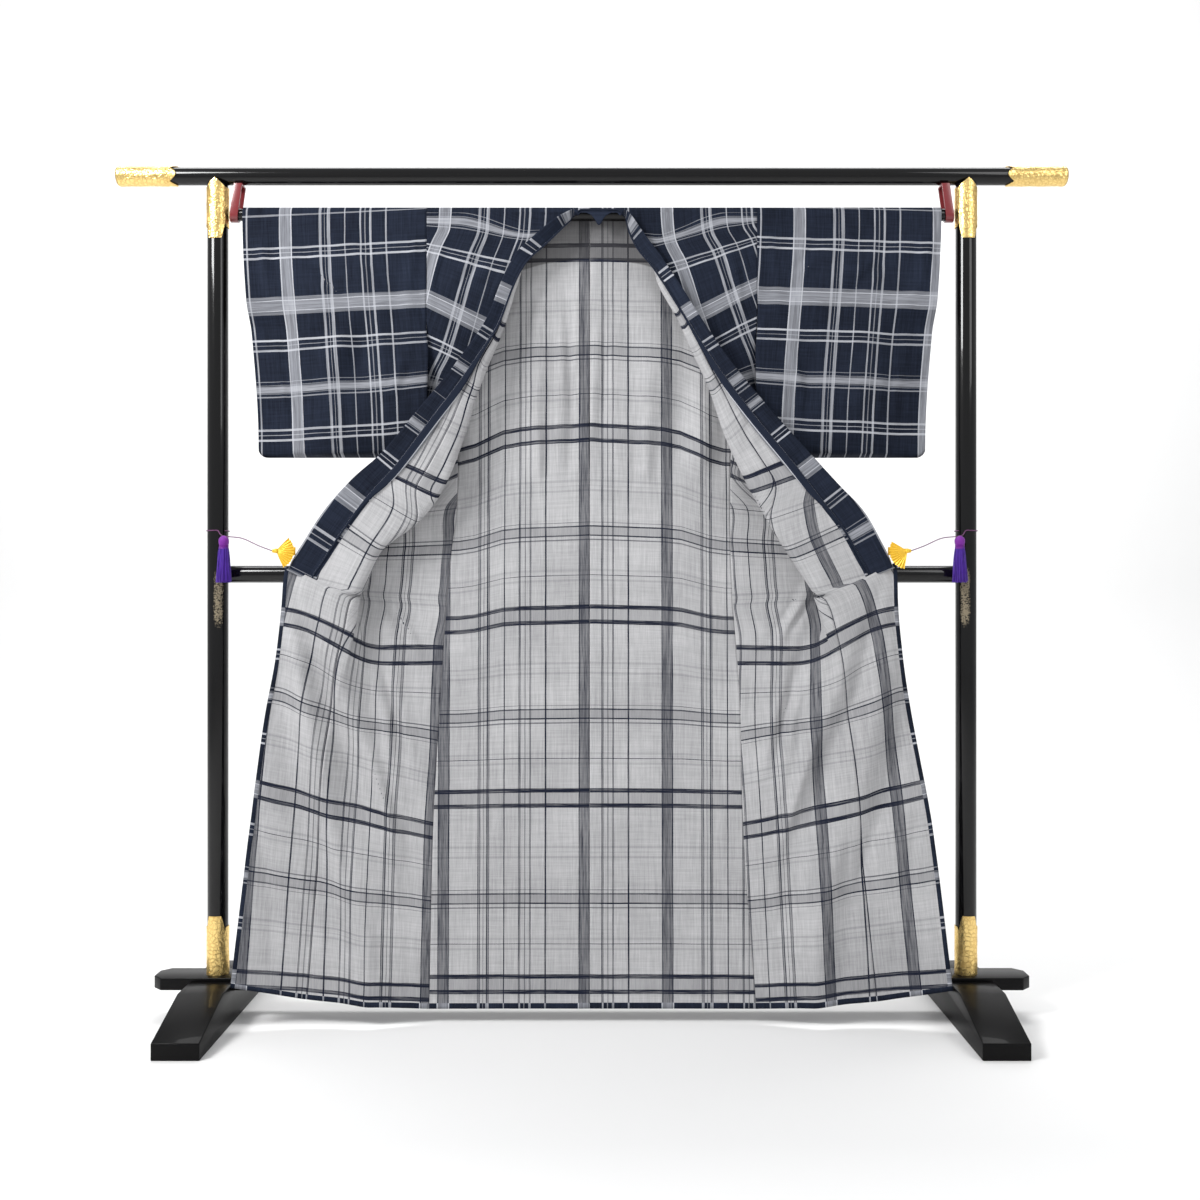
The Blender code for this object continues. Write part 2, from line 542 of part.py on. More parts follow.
def collar_side(side, table):
    """Seam point and cross direction at each station of one side, from the neck to the tip."""
    drops = [d for d in FRONT_DROPS if NECK_DROP <= d <= COLLAR_END]
    edge = lambda d: np.array([read_row(table, n, d) for n in ("edge_out", "edge_y", "edge_z")])
    stations = []
    for drop in drops:
        seam = edge(drop)
        if drop > 0.10:
            ahead = edge(min(drop + 0.02, 1.0)) - edge(drop - 0.02)
            cross = np.array([-ahead[2], 0.0, ahead[0]])
            cross /= np.linalg.norm(cross)
            lift = 0.33 - 0.23 * ease(0.10, 0.40, drop)
            cross = np.array([cross[0], -lift, cross[2]])
            width = collar_width(drop)
        else:
            cross = np.array([read_row(COLLAR_NECK, n, drop) for n in ("out", "back", "up")])
            width = read_row(COLLAR_NECK, "width", drop)
        cross /= np.linalg.norm(cross)
        seam[1] -= COLLAR_LIFT * ease(0.26, 0.16, drop)
        stations.append((outward(side, seam), outward(side, cross), width))
    return stations


def make_collar(name):
    """One long strip: down the left front, round the neck and down the right front."""
    left = collar_side(-1, LEFT_FRONT)
    right = collar_side(1, RIGHT_FRONT)
    neck = []
    start, end = left[0][0], right[0][0]
    under = np.array([0.0, 0.955, -0.296])
    for share in np.linspace(0, 1, 9)[1:-1]:
        seam = start + (end - start) * share
        turn = ease(0.0, 0.25, min(share, 1 - share))
        seam[2] -= (COLLAR_LIFT + 0.004 * math.cos(2 * math.pi * share) ** 2) * turn
        corner = left[0][1] if share < 0.5 else right[0][1]
        swing = corner * (1 - turn) + under * turn + np.array([0, 0, -0.8]) * math.sin(math.pi * turn)
        neck.append((seam, swing / np.linalg.norm(swing), 0.020))
    rows = []
    for seam, cross, width in list(reversed(left)) + neck + right:
        fractions = [COLLAR_OFFSET, width / 3, 2 * width / 3, width]
        rows.append(np.array([seam + cross * f for f in fractions]))
    points, quads, starts = grid_mesh(rows)
    wall(name, points, vertex_normals(points, quads), quads, COLLAR_CLOTH, cotton())


def cylinder(name, start, end, radius, finish, sides=20):
    """A plain round bar between two points, shaded smooth."""
    mesh = bpy.data.meshes.new(name)
    bm = bmesh.new()
    run = Vector(end) - Vector(start)
    bmesh.ops.create_cone(bm, cap_ends=True, segments=sides, radius1=radius, radius2=radius,
                          depth=run.length)
    turn = run.to_track_quat("Z", "Y").to_matrix().to_4x4()
    place = Matrix.Translation((Vector(start) + Vector(end)) / 2) @ turn
    bmesh.ops.transform(bm, matrix=place, verts=bm.verts)
    bm.to_mesh(mesh)
    bm.free()
    mesh.shade_smooth()
    mesh.set_sharp_from_angle(angle=math.radians(40))
    return add_object(name, mesh, finish)


def extruded(name, outline, axis, low, high, finish):
    """A flat outline pushed along X (axis 0), Y (axis 1) or Z (axis 2)."""
    points = []
    for level in (low, high):
        for u, v in outline:
            point = [u, v]
            point.insert(axis, level)
            points.append(point)
    count = len(outline)
    faces = [tuple(range(count)), tuple(reversed(range(count, 2 * count)))]
    for i in range(count):
        j = (i + 1) % count
        faces.append((i, j, j + count, i + count))
    return object_from(name, points, faces, finish)


def turned(name, profile, finish, axis_point, along_x=0, sides=20):
    """A profile of (radius, place) turned round an upright axis, or round an X axis."""
    points, faces = [], []
    for k in range(sides):
        angle = 2 * math.pi * k / sides
        for radius, place in profile:
            flat = (radius * math.cos(angle), radius * math.sin(angle))
            point = (place * along_x, *flat) if along_x else (*flat, place)
            points.append([a + b for a, b in zip(point, axis_point)])
    count = len(profile)
    for k in range(sides):
        m = (k + 1) % sides
        for i in range(count):
            j = (i + 1) % count
            faces.append((k * count + i, k * count + j, m * count + j, m * count + i))
    return object_from(name, points, faces, finish)


def make_fitting(name, x, low, high, dip):
    """A gold sleeve round a post, pointed upwards on its front and back, and downwards by the dip."""
    sides = 24
    inner, outer = POST_RADIUS + JOINT, POST_RADIUS + JOINT + FITTING_WALL
    points, faces = [], []
    for k in range(sides):
        angle = 2 * math.pi * k / sides
        from_front = min(abs((angle - math.pi / 2 + math.pi) % (2 * math.pi) - math.pi),
                         abs((angle + math.pi / 2 + math.pi) % (2 * math.pi) - math.pi))
        tongue = TONGUE * max(0.0, 1 - from_front / TONGUE_HALF) ** 0.8
        top, bottom = high + tongue, low - dip * tongue
        for radius, z in ((inner, bottom), (outer, bottom), (outer, top), (inner, top)):
            points.append([x + radius * math.cos(angle), radius * math.sin(angle), z])
    for k in range(sides):
        m = (k + 1) % sides
        for i in range(4):
            j = (i + 1) % 4
            faces.append((4 * k + i, 4 * k + j, 4 * m + j, 4 * m + i))
    object_from(name, points, faces, gilt())


def make_stand():
    bar_under = TOP_BAR_Z - TOP_BAR_RADIUS
    cylinder("top_bar", (-TOP_BAR_HALF, 0, TOP_BAR_Z), (TOP_BAR_HALF, 0, TOP_BAR_Z),
             TOP_BAR_RADIUS, lacquer(), 24)
    cylinder("hanging_rod", (-ROD_HALF, 0, ROD_Z), (ROD_HALF, 0, ROD_Z), ROD_RADIUS, lacquer(), 18)
    reach = POST_X - POST_RADIUS - JOINT
    cylinder("middle_rail", (-reach, 0, RAIL_Z), (reach, 0, RAIL_Z), RAIL_RADIUS, lacquer())
    half, chamfer = PLANK_DEPTH / 2, PLANK_CHAMFER
    plank = [(-PLANK_HALF, -half + chamfer), (-PLANK_HALF + chamfer, -half), (PLANK_HALF - chamfer, -half),
             (PLANK_HALF, -half + chamfer), (PLANK_HALF, half - chamfer), (PLANK_HALF - chamfer, half),
             (-PLANK_HALF + chamfer, half), (-PLANK_HALF, half - chamfer)]
    extruded("lower_plank", plank, 2, PLANK_TOP - PLANK_HEIGHT, PLANK_TOP, lacquer())
    for side, word in ((-1, "left"), (1, "right")):
        x = side * POST_X
        cylinder("post_" + word, (x, 0, PLANK_TOP + JOINT), (x, 0, bar_under - JOINT), POST_RADIUS, lacquer())
        notch = PLANK_DEPTH / 2 + JOINT
        seat = PLANK_TOP - PLANK_HEIGHT - JOINT
        foot = [(-FOOT_HALF, 0), (-FOOT_HALF, FOOT_TOE), (-FOOT_FLAT, FOOT_TOP), (-notch, FOOT_TOP),
                (-notch, seat), (notch, seat), (notch, FOOT_TOP), (FOOT_FLAT, FOOT_TOP),
                (FOOT_HALF, FOOT_TOE), (FOOT_HALF, 0)]
        extruded("foot_" + word, foot, 0, x - FOOT_WIDTH / 2, x + FOOT_WIDTH / 2, lacquer())
        cap = [(TOP_BAR_RADIUS + JOINT, -CAP_LENGTH), (CAP_RADIUS, -CAP_LENGTH), (CAP_RADIUS, CAP_ROUND),
               (CAP_RADIUS - CAP_ROUND, 2 * CAP_ROUND), (CAP_HOLE, 2 * CAP_ROUND), (CAP_HOLE, JOINT),
               (TOP_BAR_RADIUS + JOINT, JOINT)]
        turned("bar_cap_" + word, cap, gilt(), (side * TOP_BAR_HALF, 0, TOP_BAR_Z), side)
        make_fitting("post_top_fitting_" + word, x, TOP_FITTING_LOW, bar_under - 4 * JOINT, TOP_TONGUE_DIP)
        make_fitting("post_foot_fitting_" + word, x, PLANK_TOP + JOINT, FOOT_FITTING_HIGH, 0.0)
        make_hook("rod_hook_" + word, side, bar_under - JOINT)


def make_hook(name, side, top):
    """A dark red strap under the top bar, bent round the rod."""
    inside = ROD_RADIUS + JOINT
    outside = inside + HOOK_WALL
    outer, inner = [(outside, top)], [(inside, top - HOOK_WALL)]
    for k in range(9):
        angle = -math.pi * k / 8
        outer.append((outside * math.cos(angle), ROD_Z + outside * math.sin(angle)))
        inner.append((inside * math.cos(angle), ROD_Z + inside * math.sin(angle)))
    outer.append((-outside, top))
    inner.append((-inside, top - HOOK_WALL))
    points, faces = [], []
    count = len(outer)
    for level in (-HOOK_WIDTH / 2, HOOK_WIDTH / 2):
        for ring in (outer, inner):
            for y, z in ring:
                lean = side * HOOK_LEAN * (ROD_Z - z)
                points.append([side * HOOK_X + level + lean, y, z])
    for i in range(count):
        j = (i + 1) % count
        near_out, near_in, far_out, far_in = 0, count, 2 * count, 3 * count
        faces.append((near_out + i, near_out + j, near_in + j, near_in + i))
        faces.append((far_out + i, far_out + j, far_in + j, far_in + i))
        faces.append((near_out + i, near_out + j, far_out + j, far_out + i))
        faces.append((near_in + i, near_in + j, far_in + j, far_in + i))
    object_from(name, points, faces, material("dark_red_strap", (0.16, 0.018, 0.016), 0.35))


def make_clip(word, side):
    """A pleated fan in front of the collar's end and a plain jaw behind it."""
    gold = material("gold_fan", (0.93, 0.72, 0.10), 0.35, 0.6)
    points, faces = [], []
    steps = 2 * FAN_RIBS
    for layer in (0.0, FAN_THICK):
        for k in range(steps + 1):
            angle = math.radians(FAN_HALF_ANGLE * (2 * k / steps - 1))
            crest = -FAN_CREST if k % 2 else 0.0
            for radius, rise in ((FAN_PIVOT, 0.0), (FAN_RADIUS, crest)):
                points.append([side * (CLIP_X - radius * math.cos(angle)), CLIP_Y - layer + rise,
                               CLIP_Z + radius * math.sin(angle)])
    row = 2 * (steps + 1)
    for k in range(steps):
        a = 2 * k
        faces.append((a, a + 1, a + 3, a + 2))
        faces.append((row + a, row + a + 1, row + a + 3, row + a + 2))
        for offset in (0, 1):
            faces.append((a + offset, a + 2 + offset, row + a + 2 + offset, row + a + offset))
    for a in (0, 2 * steps):
        faces.append((a, a + 1, row + a + 1, row + a))
    object_from("fan_clip_" + word, points, faces, gold)
    high, front = CLIP_X + FAN_PIVOT, CLIP_Y + JOINT
    jaw = [(JAW_OUT, JAW_Y - JAW_WALL), (JAW_CORNER, JAW_Y - JAW_WALL), (JAW_CORNER, front), (high, front),
           (high, JAW_Y), (JAW_OUT, JAW_Y)]
    jaw = [(side * x, y) for x, y in jaw]
    extruded("clip_jaw_" + word, jaw, 2, CLIP_Z - JAW_HALF, CLIP_Z + JAW_HALF, gold)


def make_cord(word, side):
    """The purple cord from the clip to the post, once round it."""
    ring = POST_RADIUS + CORD_RADIUS + CORD_CLEAR
    knot = (TASSEL_X, TASSEL_Y, TASSEL_TOP + CORD_RADIUS + 0.0011)
    route = [(CLIP_X + 0.0045, -0.0790, CLIP_Z), (0.640, -0.0680, 0.9240), (0.680, -0.0480, 0.9400), knot]
    for turn in range(-104, 217, 20):
        angle = math.radians(turn)
        route.append((POST_X + ring * math.cos(angle), ring * math.sin(angle), CORD_RING_Z))
    smooth = curve_through([(side * x, y, z) for x, y, z in route], 16)
    length = np.linalg.norm(np.diff(smooth, axis=0), axis=1).sum()
    points = along(smooth, np.linspace(0, 1, int(length / CORD_STEP)))
    curve = bpy.data.curves.new("cord_" + word, "CURVE")
    curve.dimensions = "3D"
    curve.bevel_depth = CORD_RADIUS
    curve.bevel_resolution = 2
    curve.use_fill_caps = True
    spline = curve.splines.new("POLY")
    spline.points.add(len(points) - 1)
    for spot, point in zip(spline.points, points):
        spot.co = (*point, 1.0)
    thing = bpy.data.objects.new("cord_" + word, curve)
    curve.materials.append(material("purple_cord", (0.10, 0.03, 0.09), 0.6))
    bpy.context.scene.collection.objects.link(thing)


def make_tassel(word, side):
    """A tassel: a round head whose underside carries the separate strands."""
    mesh = bpy.data.meshes.new("tassel_" + word)
    bm = bmesh.new()
    centre = Vector((side * TASSEL_X, TASSEL_Y, 0))
    rings = [(0.0022, 0.0), (0.0052, -0.004), (0.0056, -0.010), (0.0046, -0.014), (0.0052, -0.018)]
    around = 14
    loops = []
    for radius, z in rings:
        loops.append([bm.verts.new(centre + Vector((radius * math.cos(2 * math.pi * k / around),
                                                   radius * math.sin(2 * math.pi * k / around),
                                                   TASSEL_TOP + z))) for k in range(around)])
    bm.faces.new(loops[0])
    for low, high in zip(loops[1:], loops):
        for k in range(around):
            m = (k + 1) % around
            bm.faces.new((low[k], low[m], high[m], high[k]))
    inner = [[bm.verts.new(centre + Vector((r * math.cos(2 * math.pi * k / around),
                                            r * math.sin(2 * math.pi * k / around),
                                            TASSEL_TOP - TASSEL_HEAD))) for k in range(around)]
             for r in (0.0032, 0.0012)]
    roots = []
    for outer_loop, inner_loop in ((loops[-1], inner[0]), (inner[0], inner[1])):
        for k in range(around):
            m = (k + 1) % around
            roots.append(bm.faces.new((outer_loop[k], inner_loop[k], inner_loop[m], outer_loop[m])))
    bm.faces.new(list(reversed(inner[1])))
    bm.normal_update()
    bmesh.ops.inset_individual(bm, faces=roots, thickness=STRAND_GAP, use_even_offset=True)
    for number, face in enumerate(roots):
        grown = bmesh.ops.extrude_discrete_faces(bm, faces=[face])["faces"][0]
        length = TASSEL_LENGTH - TASSEL_HEAD - STRAND_UNEVEN * ((number * 7) % 5) / 4
        middle = grown.calc_center_median()
        spread = Vector((middle.x - centre.x, middle.y - centre.y, 0)) * STRAND_SPREAD
        bmesh.ops.translate(bm, verts=grown.verts, vec=spread + Vector((0, 0, -length)))
    bmesh.ops.recalc_face_normals(bm, faces=bm.faces)
    bm.to_mesh(mesh)
    bm.free()
    add_object("tassel_" + word, mesh, material("violet_silk", (0.20, 0.10, 0.42), 0.5))


def main():
    clear_scene()
    make_body_side("left", -1, LEFT_FRONT)
    make_body_side("right", 1, RIGHT_FRONT)
    make_sleeve("sleeve_left", -1)
    make_sleeve("sleeve_right", 1)
    make_collar("collar")
    make_stand()
    for word, side in (("left", -1), ("right", 1)):
        make_clip(word, side)
        make_cord(word, side)
        make_tassel(word, side)


main()
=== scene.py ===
import math

import bpy
import numpy as np
from mathutils import Matrix, Vector


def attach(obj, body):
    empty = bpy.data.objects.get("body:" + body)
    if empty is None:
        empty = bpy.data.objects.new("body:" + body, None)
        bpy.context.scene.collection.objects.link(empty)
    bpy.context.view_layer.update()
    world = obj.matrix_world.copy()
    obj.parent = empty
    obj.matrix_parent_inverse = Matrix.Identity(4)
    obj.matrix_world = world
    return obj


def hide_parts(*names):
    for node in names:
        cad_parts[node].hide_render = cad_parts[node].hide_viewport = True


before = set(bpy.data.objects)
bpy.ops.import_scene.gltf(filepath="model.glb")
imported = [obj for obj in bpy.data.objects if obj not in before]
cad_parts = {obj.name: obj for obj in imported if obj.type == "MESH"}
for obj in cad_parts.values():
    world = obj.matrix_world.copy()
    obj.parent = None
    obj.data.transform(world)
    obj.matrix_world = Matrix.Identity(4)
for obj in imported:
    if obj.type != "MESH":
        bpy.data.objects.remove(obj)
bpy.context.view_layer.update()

bpy.ops.object.select_all(action="DESELECT")
print("frame loaded,", len(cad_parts), "nodes")


class Socket:
    # an output socket, so that sums and products of them add Math nodes
    def __init__(self, tree, output):
        self.tree = tree
        self.output = output

    def math(self, operation, *others):
        node = self.tree.nodes.new("ShaderNodeMath")
        node.operation = operation
        for place, value in enumerate((self, *others)):
            if isinstance(value, Socket):
                self.tree.links.new(value.output, node.inputs[place])
            else:
                node.inputs[place].default_value = value
        return Socket(self.tree, node.outputs[0])

    def __add__(self, other):
        return self.math("ADD", other)

    __radd__ = __add__

    def __mul__(self, other):
        return self.math("MULTIPLY", other)

    __rmul__ = __mul__

    def __sub__(self, other):
        return self.math("SUBTRACT", other)

    def __rsub__(self, other):
        return self * -1 + other

    def sine(self):
        return self.math("SINE")

    def clamp(self):
        return self.math("MINIMUM", 1.0).math("MAXIMUM", 0.0)

    def step(self, low, high):
        # 0 below low, 1 above high, smooth between
        node = self.tree.nodes.new("ShaderNodeMapRange")
        node.interpolation_type = "SMOOTHSTEP"
        self.tree.links.new(self.output, node.inputs["Value"])
        node.inputs["From Min"].default_value = low
        node.inputs["From Max"].default_value = high
        return Socket(self.tree, node.outputs["Result"])

    def between(self, low, lowFull, highFull, high):
        return self.step(low, lowFull) * (1 - self.step(highFull, high))

    def stretch(self, gain):
        # more contrast round the middle
        return ((self - 0.5) * gain + 0.5).clamp()


class Finish:
    # one material: its nodes are added by name, with settings first and then values or links
    def __init__(self, name, **values):
        self.material = bpy.data.materials.new(name)
        self.material.use_nodes = True
        self.tree = self.material.node_tree
        self.shader = self.tree.nodes["Principled BSDF"]
        self.feed(**values)

    def node(self, kind, settings=None, output=0, stops=None, **values):
        made = self.tree.nodes.new("ShaderNode" + kind)
        for key, value in (settings or {}).items():
            setattr(made, key, value)
        if stops:
            # a ramp of hard steps
            ramp = made.color_ramp
            ramp.interpolation = "CONSTANT"
            ramp.elements.remove(ramp.elements[1])
            for k, (place, level) in enumerate(stops):
                spot = ramp.elements.new(place) if k else ramp.elements[0]
                spot.position, spot.color = place, (level, level, level, 1)
        for key, value in values.items():
            self.plug(made.inputs[key.replace("_", " ")], value)
        return Socket(self.tree, made.outputs[output])

    def plug(self, socket, value):
        if isinstance(value, Socket):
            self.tree.links.new(value.output, socket)
        elif isinstance(value, tuple) and len(value) == 3 and socket.type == "RGBA":
            socket.default_value = (*value, 1)
        else:
            socket.default_value = value

    def feed(self, **values):
        for key, value in values.items():
            self.plug(self.shader.inputs[key.replace("_", " ")], value)

    def place(self, kind="Object"):
        return self.node("TexCoord", output=kind)

    def parts(self, vector):
        made = self.tree.nodes.new("ShaderNodeSeparateXYZ")
        self.tree.links.new(vector.output, made.inputs[0])
        return [Socket(self.tree, made.outputs[k]) for k in range(3)]

    def vector(self, x, y, z=0.0):
        return self.node("CombineXYZ", X=x, Y=y, Z=z)

    def noise(self, vector, scale, detail=2.0, roughness=0.5):
        return self.node("TexNoise", Vector=vector, Scale=scale, Detail=detail, Roughness=roughness)

    def mix(self, share, first, second):
        made = self.tree.nodes.new("ShaderNodeMix")
        made.data_type = "RGBA"
        for place, value in zip((0, 6, 7), (share, first, second)):
            self.plug(made.inputs[place], value)
        return Socket(self.tree, made.outputs[2])

    def bump(self, height, depth, strength):
        return self.node("Bump", Height=height, Distance=depth, Strength=strength)


def link(name, data):
    thing = bpy.data.objects.new(name, data)
    bpy.context.scene.collection.objects.link(thing)
    return thing


# camera, floor and light
studio = {
    "camera": (0.016, -2.5, 0.82),
    "lens": 37.9,
    "sensor": 36.0,
    "clipEnd": 60,
    "floor": (0.84, 0.835, 0.83),
    "floorRoughness": 0.75,
    "floorFront": -6.0,
    "sweepDepth": 2.7,        # the floor curves up into the backdrop this far behind
    "sweepRadius": 0.9,
    "sweepSteps": 16,
    "halfWidth": 6.0,
    "height": 5.0,
    "world": (0.96, 0.98, 1.0),
    "worldStrength": 0.59,
    # place, target, width and height, watts
    "lights": {
        "key": ((-2.2, -1.7, 2.8), (0.1, 0, 1.2), (1.1, 0.9), 98),
        "fill": ((2.3, -2.1, 2.7), (0, 0, 1.3), (1.2, 1.6), 24),
        "backdropLight": ((0, 1.3, 4.1), (0, 3.4, 0.6), (4.5, 1.4), 135),
    },
}


def makeCamera():
    lens = bpy.data.cameras.new("camera")
    lens.lens = studio["lens"]
    lens.sensor_width = studio["sensor"]
    lens.clip_end = studio["clipEnd"]
    camera = link("camera", lens)
    camera.location = studio["camera"]
    camera.rotation_euler = (math.radians(90), 0, 0)
    bpy.context.scene.camera = camera


def makeFloor():
    # one sheet: floor, then a quarter round, then the wall
    depth, radius, steps = studio["sweepDepth"], studio["sweepRadius"], studio["sweepSteps"]
    profile = [(studio["floorFront"], 0.0), (depth, 0.0)]
    for k in range(1, steps + 1):
        angle = math.radians(90 * k / steps)
        profile.append((depth + radius * math.sin(angle), radius * (1 - math.cos(angle))))
    profile.append((depth + radius, studio["height"]))
    points = [(side * studio["halfWidth"], y, z) for y, z in profile for side in (-1, 1)]
    faces = [(2 * k, 2 * k + 1, 2 * k + 3, 2 * k + 2) for k in range(len(profile) - 1)]
    mesh = bpy.data.meshes.new("floor")
    mesh.from_pydata(points, [], faces)
    mesh.shade_smooth()
    paper = Finish("paperBackdrop", Base_Color=studio["floor"], Roughness=studio["floorRoughness"])
    mesh.materials.append(paper.material)
    link("floor", mesh)


def makeLight():
    world = bpy.data.worlds.new("studio")
    world.use_nodes = True
    background = world.node_tree.nodes["Background"]
    background.inputs["Color"].default_value = (*studio["world"], 1)
    background.inputs["Strength"].default_value = studio["worldStrength"]
    bpy.context.scene.world = world
    bpy.context.scene.view_settings.view_transform = "Standard"
    for name, (place, target, size, watts) in studio["lights"].items():
        lamp = bpy.data.lights.new(name, "AREA")
        lamp.shape = "RECTANGLE"
        lamp.size, lamp.size_y = size
        lamp.energy = watts
        thing = link(name, lamp)
        thing.location = place
        thing.rotation_euler = (Vector(target) - Vector(place)).to_track_quat("-Z", "Y").to_euler()


makeCamera()
makeFloor()
makeLight()
print("camera, floor and lights")


# the checked cotton
check = {
    "uvSpan": 4.0,            # metres that the check's UV map covers
    "warpPeriod": 0.274,
    "weftPeriod": 0.359,
    # darkest and lightest ground, then the stripes
    "faceColours": ((0.0022, 0.0034, 0.0075), (0.020, 0.027, 0.048), (0.50, 0.51, 0.55)),
    "backColours": ((0.29, 0.288, 0.297), (0.56, 0.556, 0.564), (0.011, 0.014, 0.028)),
    "wander": 0.0016,         # how far the edges of a stripe stray, slowly and from thread to thread
    "ragged": 0.0006,
    "yarnContrast": 3.2,
    "streakContrast": 4.0,
    # how much a stripe covers: plain, by its yarn and by its streaks
    "warpCover": (0.52, 0.40, 0.62),
    "weftCover": (0.56, 0.34, 0.54),
    # the ground's light threads: yarn lengthwise and across, streaks the same, patches, and the least
    "heather": (0.30, 0.16, 0.26, 0.20, 0.9, 0.04),
    "thread": 0.0005,         # from one thread to the next
    "relief": 0.0003,
    "neckShadowLow": 1.496,         # painted shadow: above this height the reverse is painted darker, inside the back of the neck under the rod
    "neckShadowCurve": 1.2,
    "neckShadowBlend": 0.004,
    "neckShadowStrength": 0.62,
    "neckShadowColour": (0.050, 0.048, 0.050),
}
# Stripes: centre, half width and strength. A later stripe lies over an earlier one.
stripes = {
    "faceWarp": [
        (0.0000, 0.0118, 0.38), (-0.0110, 0.0009, 0.80), (0.0110, 0.0009, 0.80),
        (0.0685, 0.0032, 0.46), (0.0770, 0.0010, 0.40), (0.0855, 0.0033, 0.52), (0.1170, 0.0013, 0.52),
        (0.1475, 0.0018, 0.56), (0.1570, 0.0011, 0.34), (0.1675, 0.0020, 0.56), (0.1980, 0.0013, 0.50)],
    "faceWeft": [
        (0.0000, 0.0180, 0.30), (0.0000, 0.0102, 0.42), (-0.0098, 0.0009, 0.92), (0.0098, 0.0009, 0.92),
        (0.0674, 0.0019, 0.68), (0.0770, 0.0011, 0.42), (0.0866, 0.0019, 0.60),
        (0.1485, 0.0011, 0.34), (0.1640, 0.0090, 0.30), (0.1645, 0.0055, 0.48), (0.1576, 0.0006, 0.10),
        (0.1712, 0.0006, 0.10), (0.1790, 0.0011, 0.40),
        (0.2444, 0.0021, 0.64), (0.2540, 0.0012, 0.52), (0.2640, 0.0021, 0.70)],
    "backWarp": [
        (0.0000, 0.0110, 0.64), (-0.0100, 0.0010, 0.88), (0.0100, 0.0010, 0.86),
        (0.0685, 0.0024, 0.42), (0.0667, 0.0007, 0.90), (0.0703, 0.0007, 0.90), (0.0770, 0.0010, 0.66),
        (0.0860, 0.0027, 0.42), (0.0839, 0.0007, 0.90), (0.0881, 0.0007, 0.90), (0.1170, 0.0014, 0.92),
        (0.1475, 0.0019, 0.38), (0.1461, 0.0006, 0.75), (0.1489, 0.0006, 0.75), (0.1575, 0.0010, 0.50),
        (0.1680, 0.0020, 0.38), (0.1665, 0.0006, 0.75), (0.1695, 0.0006, 0.75), (0.1980, 0.0014, 0.90)],
    "backWeft": [
        (0.0000, 0.0143, 0.20), (-0.0143, 0.0042, 0.93), (0.0143, 0.0042, 0.93),
        (0.0675, 0.0020, 0.18), (0.0770, 0.0010, 0.80), (0.0865, 0.0020, 0.16),
        (0.1470, 0.0012, 0.60), (0.1640, 0.0090, 0.24), (0.1550, 0.0013, 0.88), (0.1732, 0.0013, 0.84),
        (0.1810, 0.0012, 0.55),
        (0.2440, 0.0022, 0.20), (0.2540, 0.0008, 0.16), (0.2635, 0.0022, 0.18)],
}


def rampStops(which, period):
    # a list of stripes as the steps of one constant ramp
    edges = {0.0}
    for centre, half, level in stripes[which]:
        for edge in (centre - half, centre + half):
            edges.add((edge / period) % 1.0)
    stops = []
    for edge in sorted(edges):
        here = (edge + 1e-6) * period
        level = 0.0
        for centre, half, strength in stripes[which]:
            off = (here - centre + period / 2) % period - period / 2
            if abs(off) < half:
                level = strength
        if not stops or stops[-1][1] != level:
            stops.append((edge, level))
    return stops


def makeCotton(name, side):
    made = Finish(name, Specular_IOR_Level=0.12)
    u, v = [(part - 0.5) * check["uvSpan"] for part in made.parts(made.place("UV"))[:2]]

    def grain(across, lengthwise, detail=3.0, roughness=0.5):
        return made.noise(made.vector(u * across, v * lengthwise), 1.0, detail, roughness)

    shift = (grain(12, 12) - 0.5) * check["wander"] + (grain(420, 420, 1.0) - 0.5) * check["ragged"]
    slub, cross = grain(700, 22, 3.0, 0.7), grain(24, 620, 3.0, 0.7)
    yarn = [threads.stretch(check["yarnContrast"]) for threads in (slub, cross)]
    streak = [grain(*scales, 3.0, 0.75).stretch(check["streakContrast"]) for scales in ((230, 7), (7, 230))]
    bare = []
    for k, (word, place) in enumerate((("warp", u), ("weft", v))):
        period = check[word + "Period"]
        share = ((place + shift) * (1 / period) + 40.0).math("FRACT")
        stripe = made.node("ValToRGB", stops=rampStops(side + word.title(), period), Fac=share)
        plain, byYarn, byStreak = check[word + "Cover"]
        bare.append(1 - stripe * (plain + yarn[k] * byYarn + streak[k] * byStreak))
    striped = (1 - bare[0] * bare[1]).clamp()
    byYarn, byCross, byStreak, byStreakCross, byPatch, least = check["heather"]
    heather = (yarn[0] * byYarn + yarn[1] * byCross + streak[0] * byStreak + streak[1] * byStreakCross
               + (grain(6, 6) - 0.5) * byPatch + least)
    dark, light, stripeColour = check[side + "Colours"]
    colour = made.mix(striped, made.mix(heather.clamp(), dark, light), stripeColour)
    # painted shadow: inside the back of the neck, above a line that sags towards the sides, the reverse is
    # mixed towards dark grey where the rod and the neck cloth shade it
    if side == "back":
        x, z = made.parts(made.place())[::2]
        low = check["neckShadowLow"]
        doubled = (z + x * x * check["neckShadowCurve"]).step(low, low + check["neckShadowBlend"])
        colour = made.mix(doubled * check["neckShadowStrength"], colour, check["neckShadowColour"])
    weave = (u * (math.pi / check["thread"])).sine() * (v * (math.pi / check["thread"])).sine()
    height = weave * 0.35 + slub * 0.5 + cross * 0.5
    made.feed(Base_Color=colour, Roughness=0.80 + slub * 0.14,
              Normal=made.bump(height, check["relief"], 0.6))
    return made.material


cottonFace = makeCotton("checkedCottonFace", "face")
cottonReverse = makeCotton("checkedCottonReverse", "back")
print("cotton")


